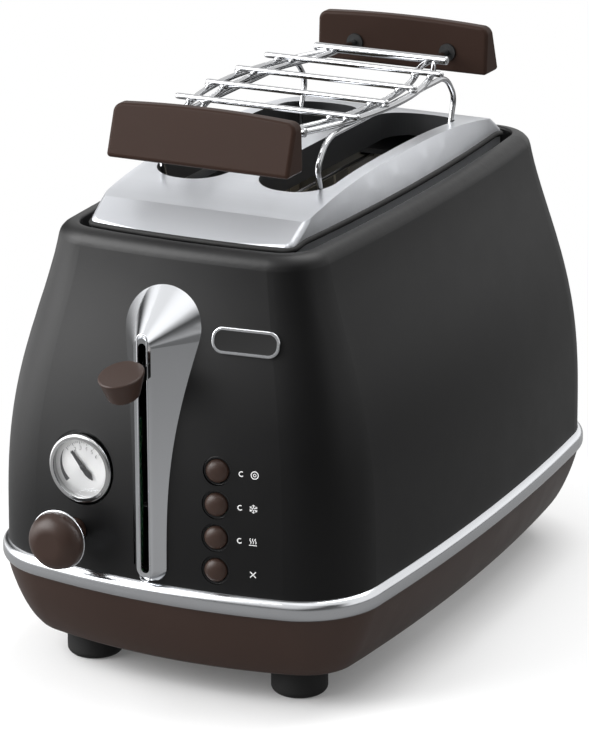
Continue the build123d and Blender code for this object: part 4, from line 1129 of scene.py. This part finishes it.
class TOASTER_OT_lever(ToasterOperator, bpy.types.Operator):
    """Finish the lever's trim, arm and knob, and the bare plate beside it"""

    bl_idname = "toaster.lever"
    bl_label = "Lever"

    def execute(self, context):
        finishes = context.scene.toaster_finishes
        give(chrome_finish("polished_trim", finishes.chrome, 0.06), "lever_trim")
        give(enamel_finish(finishes.enamel), "lever_arm")
        give(moulded_finish("satin_brown_lever", finishes.brown, 2600.0, 0.38, 1.15), "lever_knob")
        give(chrome_finish("polished_plate", finishes.chrome, 0.12), "badge_plate")
        self.plate_field(enamel_finish(finishes.enamel))
        self.slot_rim(chrome_finish("polished_slot_rim", finishes.chrome, 0.05))
        return {"FINISHED"}

    def plate_field(self, paint):
        """Black enamel run into the sunk field of the bare plate, with a soft meniscus at its edge."""
        plane = front_plane("badge_plate")
        field = [place for place in seen_from(plane, "badge_plate") if abs(place.z) < FIELD_FLATNESS]
        reach = max(abs(place.x) for place in field)
        rise = max(abs(place.y) for place in field)
        rings = []
        for inset, lift in FIELD_RINGS:
            outline = stadium(reach - inset * MM, rise - inset * MM)
            rings.append([(x, y, lift * MM) for x, y in outline])
        laid("plate_field", stacked(rings, 0.0), plane, paint, "toaster_body", "black_steel")

    def slot_rim(self, chrome):
        """A rounded bead round the mouth of the lever's slot."""
        points = points_of("lever_trim")
        front = min(point.y for point in points)
        ridge = [point for point in points if point.y < front + RIDGE_DEPTH and abs(point.x) < RIDGE_REACH]
        half = max(abs(point.x) for point in ridge)
        mouth = [point.z for point in ridge if abs(point.x) > half - MOUTH_EDGE]
        radius = half + SLOT_BEAD_OFFSET
        head = [(x, front, max(mouth) + y) for x, y in arc(radius, 0.0, 180.0, 16)]
        foot = [(x, front, min(mouth) + y) for x, y in arc(radius, 180.0, 360.0, 16)]
        bead("slot_bead", head + foot, SLOT_BEAD_RADIUS, chrome, "chrome")


class TOASTER_OT_gauge(ToasterOperator, bpy.types.Operator):
    """Finish the gauge, make its needle, print its dial and paint an arc of shade on it"""

    bl_idname = "toaster.gauge"
    bl_label = "Gauge"

    def execute(self, context):
        finishes = context.scene.toaster_finishes
        plane = front_plane("gauge_dial")
        give(dial_finish(finishes.dial, plane), "gauge_dial")
        give(chrome_finish("satin_bezel", tint(finishes.dial, 0.66), 0.14), "gauge_bezel")
        give(lens_finish((0.97, 0.98, 0.98)), "gauge_lens")
        self.needle(plane, painted_finish("grey_needle_paint", (0.014, 0.014, 0.016), 0.3))
        give(moulded_finish("matt_black_cup", finishes.black, 2000.0, 0.5, 1.3), "gauge_cup")
        ink = painted_finish("dark_dial_ink", finishes.dark_ink, 0.45)
        self.marks(context.scene.toaster_dial, plane, ink)
        return {"FINISHED"}

    def needle(self, plane, paint):
        """Thin bevelled needle with a kinked tail and a domed cap over its pin."""
        level = seen_from(plane, "gauge_needle")
        low = max(place.z for place in level) - NEEDLE_DEPTH
        tip = max(level, key=lambda place: place.xy.length)
        blade = []
        for shrink, lift in BLADE_RINGS:
            narrow = [(x * (1.0 - shrink * 0.03), y * (1.0 - shrink)) for x, y in needle_outline()]
            blade.append([(x, y, low + lift * MM) for x, y in narrow])
        cap = [[(x, y, low + lift * MM) for x, y in circle(radius * MM, 30)] for radius, lift in CAP_RINGS]
        points, faces = stacked(blade, low)
        cap_points, cap_faces = stacked(cap, low + CAP_FOOT)
        faces += [[len(points) + corner for corner in face] for face in cap_faces]
        turn = radians(NEEDLE_TURN) - Vector((1.0, 0.0)).angle_signed(tip.xy)
        heading = plane @ Matrix.Rotation(turn, 4, "Z")
        laid(
            "tapered_needle", (points + cap_points, faces), heading, paint, "gauge_needle", "dark_needle",
            replaced=["gauge_needle"],
        )

    def marks(self, dial, plane, ink):
        """Ticks and numbers printed on the dial, and an arc that widens, laid on in the same dark ink as
        painted shade.
        """
        start = radians(90.0) + dial.sweep / 2
        sizes = {"Count": dial.ticks, "Radius": dial.radius, "Length": dial.tick_length}
        sizes |= {"Width": TICK_WIDTH, "Thickness": 2 * INK_LIFT, "Start": start, "Sweep": -dial.sweep}
        sizes |= {"Long Every": LONG_TICK_EVERY, "Long Extra": LONG_TICK_EXTRA}
        ticks = grow("dial_ticks", [], tick_tree(), sizes, ink)
        ticks.transform(plane)
        settle("dial_ticks", ticks, ink, "toaster_body", "dark_needle")
        for number in range(1, dial.numbers + 1):
            turn = start - dial.sweep * (number - 1) / (dial.numbers - 1)
            place = (dial.radius - NUMBER_INSET) * Vector((cos(turn), sin(turn), 0.0))
            figure = figure_mesh(str(number), dial.number_height, 2 * INK_LIFT)
            figure.transform(plane @ Matrix.Translation(place - Vector((0.0, 0.0, INK_LIFT))))
            settle(f"dial_number_{number}", figure, ink, "toaster_body", "dark_needle")
        # Painted shade: a dark crescent at the dial's left, laid on in the dial's ink like the printed marks
        shade = tapered_arc(dial.radius + SHADE_RISE, SHADE_THIN, SHADE_THICK, *SHADE_ENDS)
        laid("dial_shade_arc", printed([shade]), plane, ink, "toaster_body", "dark_needle")


def needle_outline():
    """Tapered blade along X with a kinked tail, from the tip round to the tip again."""
    upper = [(8.3, 0.6), (1.1, 1.0), (0.0, 1.2), (-1.4, 1.15), (-3.3, 1.25)]
    lower = [(-5.4, 0.7), (-7.0, -0.6), (-5.6, -0.9), (-4.6, -1.6), (-3.4, -1.55), (-1.2, -1.2)]
    lower += [(0.4, -1.15), (1.3, -1.0), (8.3, -0.6)]
    return [(x * MM, y * MM) for x, y in upper + lower]


def ring_mark():
    """A roll with its hole."""
    return [stroke(circle(1.55 * MM, 24), 0.38 * MM, True), stroke(circle(0.6 * MM, 15), 0.3 * MM, True)]


def frost_mark():
    """Six arms with side twigs."""
    marks = []
    for arm in range(6):
        turn = radians(60.0 * arm + 30.0)
        heading = Vector((cos(turn), sin(turn)))
        marks.append(stroke([heading * 0.35 * MM, heading * 1.85 * MM], 0.32 * MM))
        for side in (-1, 1):
            away = turn + side * radians(55.0)
            twig = Vector((cos(away), sin(away)))
            root = heading * 1.15 * MM + twig * 0.2 * MM
            marks.append(stroke([root, root + twig * 0.5 * MM], 0.26 * MM))
    return marks


def warm_mark():
    """Three rising waves over a line."""
    marks = []
    for across in (-1.1, 0.0, 1.1):
        rises = [step / 12 for step in range(13)]
        wave = [((across + 0.28 * sin(rise * tau)) * MM, (-0.7 + 2.3 * rise) * MM) for rise in rises]
        marks.append(stroke(wave, 0.34 * MM))
    marks.append(stroke([(-1.7 * MM, -1.4 * MM), (1.7 * MM, -1.4 * MM)], 0.34 * MM))
    return marks


def stop_mark():
    """A cross of two strokes that don't overlap."""
    reach = 1.25 * MM
    gap = 0.22 * MM
    marks = [stroke([(-reach, -reach), (reach, reach)], 0.4 * MM)]
    for side in (-1, 1):
        marks.append(stroke([(side * gap, -side * gap), (side * reach, -side * reach)], 0.4 * MM))
    return marks


def lamp_mark():
    """An open ring beside a button."""
    return [stroke(arc(1.0 * MM, 55.0, 320.0, 18), 0.42 * MM)]


class TOASTER_OT_controls(ToasterOperator, bpy.types.Operator):
    """Finish the knob and the buttons, and print the marks beside them on the shell"""

    bl_idname = "toaster.controls"
    bl_label = "Knob and buttons"

    def execute(self, context):
        finishes = context.scene.toaster_finishes
        brown = moulded_finish("satin_brown_controls", finishes.brown, 2600.0, 0.34, 1.15)
        give(brown, "browning_knob")
        for button in BUTTONS:
            self.cap(button, outward_axis(button), brown)
        ring_chrome = chrome_finish("bright_knob_ring", finishes.chrome, 0.06)
        give(ring_chrome, "knob_ring")
        self.ring_bead(ring_chrome)
        black = moulded_finish("gloss_black_collars", finishes.black, 2000.0, 0.3, 1.3)
        give(black, "button_frame")
        self.collar_lips(black)
        ink = painted_finish("white_print", finishes.ink, 0.5)
        shell = shape_of("body_shell")
        for button, sign in zip(BUTTONS, (stop_mark, warm_mark, frost_mark, ring_mark)):
            plane = plane_matrix(middle_of(button), outward_axis(button))
            if button != "cancel_button":
                self.print_marks(f"{button}_lamp_mark", lamp_mark(), LAMP_ACROSS, plane, shell, ink)
            self.print_marks(f"{button}_sign", sign(), SIGN_ACROSS, plane, shell, ink)
        return {"FINISHED"}

    def cap(self, button, outward, brown):
        """A domed button on its stem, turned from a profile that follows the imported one."""
        points = points_of(button)
        crown = max(point.dot(outward) for point in points)
        foot = min(point.dot(outward) for point in points)
        skirt = [point for point in points if point.dot(outward) > crown - SKIRT_DEPTH]
        stem = [point for point in points if point.dot(outward) < foot + STEM_END]
        middle = sum(skirt, Vector()) / len(skirt)
        radius = max(off_axis(point, middle, outward) for point in skirt)
        waist = max(off_axis(point, middle, outward) for point in stem)
        tall = crown - foot
        depth = tall - STEM_LENGTH
        profile = [(0.0, -tall), (waist - BROKEN_EDGE, -tall), (waist, BROKEN_EDGE - tall)]
        profile += [(waist, -depth - STEM_FILLET), (waist + STEM_FILLET, -depth)]
        profile += [(radius - BROKEN_EDGE, -depth), (radius, BROKEN_EDGE - depth), (radius, -DOME_RISE)]
        for step in range(13):
            turn = radians(90.0 * step / 12)
            swell = radius * cos(turn) ** 0.82 if step < 12 else 0.0
            profile.append((swell, -DOME_RISE + DOME_RISE * sin(turn)))
        plane = plane_matrix(middle + outward * (crown - middle.dot(outward)), outward)
        laid(f"{button}_domed", turned(profile), plane, brown, button, "brown_plastic", replaced=[button])

    def ring_bead(self, chrome):
        """A fine bead round the front edge of the knob's ring."""
        outward = outward_axis("browning_knob")
        points = points_of("knob_ring")
        middle = sum(points, Vector()) / len(points)
        rise = max((point - middle).dot(outward) for point in points) - RING_BEAD_SINK
        radius = max(off_axis(point, middle, outward) for point in points) - RING_BEAD_INSET
        lips(
            "knob_ring_bead", [middle + outward * rise], outward, radius, RING_BEAD_THICKNESS,
            chrome, "browning_knob", "chrome",
        )

    def collar_lips(self, black):
        """A rounded lip round the mouth of each button's collar."""
        points = points_of("button_frame")
        places = []
        for button in BUTTONS:
            outward = outward_axis(button)
            middle = middle_of(button)
            near = [point for point in points if off_axis(point, middle, outward) < COLLAR_REACH]
            places.append(middle + outward * max((point - middle).dot(outward) for point in near))
        lips(
            "collar_lips", places, outward, COLLAR_LIP_RADIUS, COLLAR_LIP_THICKNESS,
            black, "toaster_body", "black_plastic",
        )

    def print_marks(self, name, marks, across, plane, shell, ink):
        """Print flat marks on the shell, some way across from a plane's middle."""
        points, faces = printed(marks)
        shifted = [(x + across, y, lift) for x, y, lift in points]
        mesh = mesh_from(name, wrapped(shifted, plane, shell), faces)
        settle(name, mesh, ink, "toaster_body", "dial_face")


class TOASTER_OT_rack(ToasterOperator, bpy.types.Operator):
    """Finish the bun rack: domed cross wires, weld beads, rails, legs and handles"""

    bl_idname = "toaster.rack"
    bl_label = "Bun rack"

    def execute(self, context):
        finishes = context.scene.toaster_finishes
        wire = chrome_finish("polished_wire", finishes.wire, 0.07)
        give(wire, "rack_rails", "rack_legs", "rack_rods")
        handle_brown = tint(finishes.brown, 0.9)
        brown = moulded_finish("satin_brown_handles", handle_brown, 2400.0, 0.38, 1.12, 0.06)
        give(brown, "rack_handle_front", "rack_handle_rear")
        give(rubber_finish(0.006), "rack_sockets")
        self.wires(context.scene.toaster_rack, wire)
        return {"FINISHED"}

    def wires(self, rack, wire):
        """Cross wires with domed ends, and a weld bead under them wherever a rail passes."""
        low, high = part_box("rack_cross_wires")
        radius = (high.z - low.z) / 2
        middle = middle_of("rack_cross_wires")
        lines = clusters([point.y for point in points_of("rack_cross_wires")], WIRE_GAP)
        sizes = {"Half Length": (high.x - low.x) / 2, "Radius": radius, "Rings": rack.rings}
        grown(
            "rack_cross_wires_domed", [(middle.x, line, middle.z) for line in lines], round_wire_tree(),
            sizes, wire, "bun_rack", "polished_steel",
            replaced=["rack_cross_wires"], smooth_below=ROUND_SMOOTH,
        )
        rails = points_of("rack_rails")
        welds = []
        for line in lines:
            near = [point.x for point in rails if abs(point.y - line) < RAIL_GAP]
            welds += [(across, line, middle.z - radius * WELD_DROP) for across in clusters(near, RAIL_GAP)]
        sizes = {"Radius": rack.bead_radius, "Flatness": rack.bead_flatness, "Seed": WELD_SEED}
        grown(
            "rack_weld_beads", welds, weld_bead_tree(), sizes, wire, "bun_rack", "polished_steel",
            smooth_below=ROUND_SMOOTH,
        )


class TOASTER_OT_inside(ToasterOperator, bpy.types.Operator):
    """Finish the chassis, the heaters, the guides and the carriage"""

    bl_idname = "toaster.inside"
    bl_label = "Inside"

    def execute(self, context):
        finishes = context.scene.toaster_finishes
        sides = ("left_outer", "left_inner", "right_inner", "right_outer")
        give(
            plated_finish(finishes.zinc),
            "front_end_plate", "rear_end_plate", "heat_shield_left", "heat_shield_right",
            "bread_carriage", "lifter_left", "lifter_right", "return_spring", "keeper_plate",
            "hold_magnet", "browning_pot", "bottom_plate",
        )
        give(mica_finish(finishes.mica), *(f"mica_board_{side}" for side in sides))
        give(ribbon_finish((0.32, 0.3, 0.28)), *(f"heating_ribbon_{side}" for side in sides))
        guide_wire = brushed_finish("drawn_guide_wire", finishes.zinc, 0.2, 1500.0)
        give(guide_wire, *(f"bread_guide_{side}" for side in sides), "guide_rod")
        give(board_finish((0.06, 0.22, 0.1)), "circuit_board", "control_board")
        return {"FINISHED"}


class TOASTER_OT_underside(ToasterOperator, bpy.types.Operator):
    """Finish the crumb tray and the cord's inlet, and add a lip and screws"""

    bl_idname = "toaster.underside"
    bl_label = "Underside and back"

    def execute(self, context):
        finishes = context.scene.toaster_finishes
        give(brushed_finish("brushed_tray", finishes.zinc, 0.24, 800.0), "crumb_tray")
        give(moulded_finish("matt_black_handle", finishes.black, 2000.0, 0.42, 1.3), "tray_handle")
        rubber = rubber_finish(0.016)
        give(rubber, "cord_grommet")
        self.inlet_lip(rubber)
        self.screws(plated_finish(finishes.zinc))
        return {"FINISHED"}

    def inlet_lip(self, rubber):
        """A soft lip round the outer face of the cord's inlet."""
        low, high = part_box("cord_grommet")
        place = middle_of("cord_grommet")
        place.y = high.y - INLET_LIP_SINK
        radius = (high.x - low.x) / 2 - INLET_LIP_INSET
        rearwards = Vector((0.0, 1.0, 0.0))
        lips("inlet_lip", [place], rearwards, radius, INLET_LIP_THICKNESS, rubber, "toaster_body", "rubber")

    def screws(self, metal):
        """Screws at the bottom plate's corners and halfway along its sides."""
        low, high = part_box("bottom_plate")
        level = low.z - SCREW_HEIGHT / 2 + SCREW_SINK
        places = [
            (across, along, level)
            for across in (low.x + SCREW_INSET, high.x - SCREW_INSET)
            for along in (low.y + SCREW_INSET, (low.y + high.y) / 2, high.y - SCREW_INSET)
        ]
        sizes = {"Radius": SCREW_RADIUS, "Height": SCREW_HEIGHT, "Turn": SCREW_TURN}
        tree = cross_screw_tree()
        grown("bottom_plate_screws", places, tree, sizes, metal, "toaster_body", "plated_steel")


def studio_brightness(across, along, rise):
    """How bright the studio is in reflections: soft boxes at both sides, and white overhead and behind."""
    left_box = (across * -0.78 + along * -0.5 + rise * 0.37).above(0.86, 0.22)
    left_glow = (across * -0.97 + along * 0.14 + rise * -0.17).above(0.925, 0.13)
    front_top = (across * 0.1 + along * -0.72 + rise * 0.69).above(0.86, 0.24)
    front_glow = (across * -0.03 + along * -0.99 + rise * -0.05).above(0.9, 0.16)
    front_right = (across * 0.93 + along * -0.34 + rise * -0.1).above(0.9, 0.2)
    right_box = (across * 0.93 + along * 0.3 + rise * 0.2).above(0.86, 0.26)
    rear_glow = (across * 0.25 + along * 0.97).above(0.94, 0.1)
    rear_right = (along + across * 0.6).above(0.4, 0.3) * rise.above(0.0, 0.12)
    behind = (across * 0.15 + along * 0.5 + rise * 0.85).above(0.52, 0.2)
    behind = behind.math("MAXIMUM", rear_right)
    sides = left_box * 5.0 + left_glow * 1.4 + front_top * 0.8 + front_right * 0.09 + right_box * 0.1
    return 0.05 + sides + front_glow * 0.1 + rear_glow * 0.3 + behind * 0.93


class TOASTER_OT_studio(ToasterOperator, bpy.types.Operator):
    """Build the floor, the light and the camera"""

    bl_idname = "toaster.studio"
    bl_label = "Studio"

    def execute(self, context):
        studio = context.scene.toaster_studio
        self.floor()
        self.room(context.scene, studio.daylight)
        self.lamp("key_light", studio.key_power, KEY_PLACE, KEY_SIZE)
        self.lamp("top_light", studio.top_power, TOP_PLACE, TOP_SIZE)
        self.camera(context.scene, studio)
        context.scene.view_settings.view_transform = "Standard"
        return {"FINISHED"}

    def floor(self):
        """Pale floor that keeps the toaster's shadow and fades into the white background; in reflections it
        glows, with a painted shadow near the toaster.
        """
        corners = [(x * FLOOR_REACH, y * FLOOR_REACH, 0.0) for x, y in ((-1, -1), (1, -1), (1, 1), (-1, 1))]
        floor = object_from("studio_floor", mesh_from("studio_floor", corners, [(0, 1, 2, 3)]))
        pale = Finish("pale_floor")
        across = pale.along((1.0, 0.0, 0.0))
        along = pale.along((0.0, 1.0, 0.0))
        beyond = outside(across, along, SHADOW_REACH, SHADOW_RISE)
        away = hypotenuse(across, along) + 0.001
        paper = pale.mixed(pale.noise(600.0, 2.0), (0.93, 0.93, 0.93, 1.0), (0.95, 0.95, 0.95, 1.0))
        matt = pale.node("ShaderNodeBsdfDiffuse", {"Color": paper})
        camera, glossy, through = pale.rays()
        room = studio_brightness(across / away, along / away, across * 0.0 - 0.1)
        far = beyond.above(0.45, 0.5)
        right_side = (across / away).math("MAXIMUM", 0.0)
        front_side = (along / -away).math("MAXIMUM", 0.0)
        # Painted shadow: in reflections the floor near the toaster glows dimly, darker to the right and the
        # front
        near = 0.27 - right_side * 0.08 - front_side * 0.1
        # In reflections the far floor glows with the studio's soft boxes, a painted reflection of the studio
        reflected = room * far + (1.0 - far) * near
        glow = camera + through + glossy * reflected
        white = pale.node("ShaderNodeEmission", {"Color": WHITE, "Strength": glow})
        faded = (beyond - front_side * 0.03).above(0.07, 0.1) * 0.8 + 0.2 - front_side * 0.12
        share = (camera + through) * faded + glossy * (far * 0.15 + 0.85)
        surface = pale.node("ShaderNodeMixShader", {0: share, 1: matt, 2: white})
        floor.data.materials.append(pale.end(surface))

    def room(self, scene, daylight):
        """White background, with an even light, and the studio's soft boxes in reflections."""
        world = bpy.data.worlds.new("studio_room")
        world.use_nodes = True
        world.node_tree.nodes.clear()
        room = Nodes(world.node_tree)
        heading = room.node("ShaderNodeTexCoord", output="Generated")
        apart = add_node(room.tree, "ShaderNodeSeparateXYZ", {0: heading})
        across, along, rise = (Signal(room.tree, socket) for socket in apart.outputs)
        camera, glossy, through = room.rays()
        seen = camera + through + glossy * studio_brightness(across, along, rise)
        lit = (1.0 - (camera + glossy + through).math("MINIMUM", 1.0)) * daylight
        light = room.node("ShaderNodeBackground", {"Color": WHITE, "Strength": seen + lit})
        add_node(room.tree, "ShaderNodeOutputWorld", {"Surface": light})
        scene.world = world

    def lamp(self, name, power, place, size):
        """A square soft light that points at the toaster."""
        light = bpy.data.lights.new(name, "AREA")
        light.shape = "SQUARE"
        light.size = size
        light.energy = power
        lamp = object_from(name, light)
        lamp.location = place
        towards = Vector(LIT_POINT) - Vector(place)
        lamp.rotation_euler = towards.to_track_quat("-Z", "Y").to_euler()

    def camera(self, scene, studio):
        """The camera of the photograph, with the shift that its framing needs."""
        azimuth, elevation = studio.azimuth, studio.elevation
        level = cos(elevation)
        away = Vector((sin(azimuth) * level, -cos(azimuth) * level, sin(elevation)))
        data = bpy.data.cameras.new("photo_camera")
        data.lens = studio.focal_length
        data.sensor_width = SENSOR_WIDTH
        data.shift_x = -PIXELS_LEFT / IMAGE_HEIGHT
        data.shift_y = PIXELS_UP / IMAGE_HEIGHT
        camera = object_from("photo_camera", data)
        camera.location = Vector(TARGET) + away * studio.distance
        camera.rotation_euler = (-away).to_track_quat("-Z", "Y").to_euler()
        scene.camera = camera


# Add-on


class TOASTER_PT_sidebar(bpy.types.Panel):
    """Steps of the toaster's making"""

    bl_idname = "TOASTER_PT_sidebar"
    bl_label = "Retro toaster"
    bl_space_type = "VIEW_3D"
    bl_region_type = "UI"
    bl_category = "Toaster"

    def draw(self, context):
        for name, group in SETTINGS.items():
            box = self.layout.box()
            settings = getattr(context.scene, name)
            for entry in group.__annotations__:
                box.prop(settings, entry)
        for step in STEPS:
            self.layout.operator(step.bl_idname)


STEPS = (
    TOASTER_OT_body,
    TOASTER_OT_top,
    TOASTER_OT_lever,
    TOASTER_OT_gauge,
    TOASTER_OT_controls,
    TOASTER_OT_rack,
    TOASTER_OT_inside,
    TOASTER_OT_underside,
    TOASTER_OT_studio,
)
SETTINGS = {
    "toaster_finishes": FinishSettings,
    "toaster_dial": DialSettings,
    "toaster_rack": RackSettings,
    "toaster_studio": StudioSettings,
}


def register():
    for group in SETTINGS.values():
        bpy.utils.register_class(group)
    for name, group in SETTINGS.items():
        setattr(bpy.types.Scene, name, bpy.props.PointerProperty(type=group))
    for step in STEPS:
        bpy.utils.register_class(step)
    bpy.utils.register_class(TOASTER_PT_sidebar)


def unregister():
    bpy.utils.unregister_class(TOASTER_PT_sidebar)
    for step in reversed(STEPS):
        bpy.utils.unregister_class(step)
    for name, group in SETTINGS.items():
        delattr(bpy.types.Scene, name)
        bpy.utils.unregister_class(group)


def main():
    register()
    for step in STEPS:
        family, name = step.bl_idname.split(".")
        getattr(getattr(bpy.ops, family), name)()


if __name__ == "__main__":
    main()
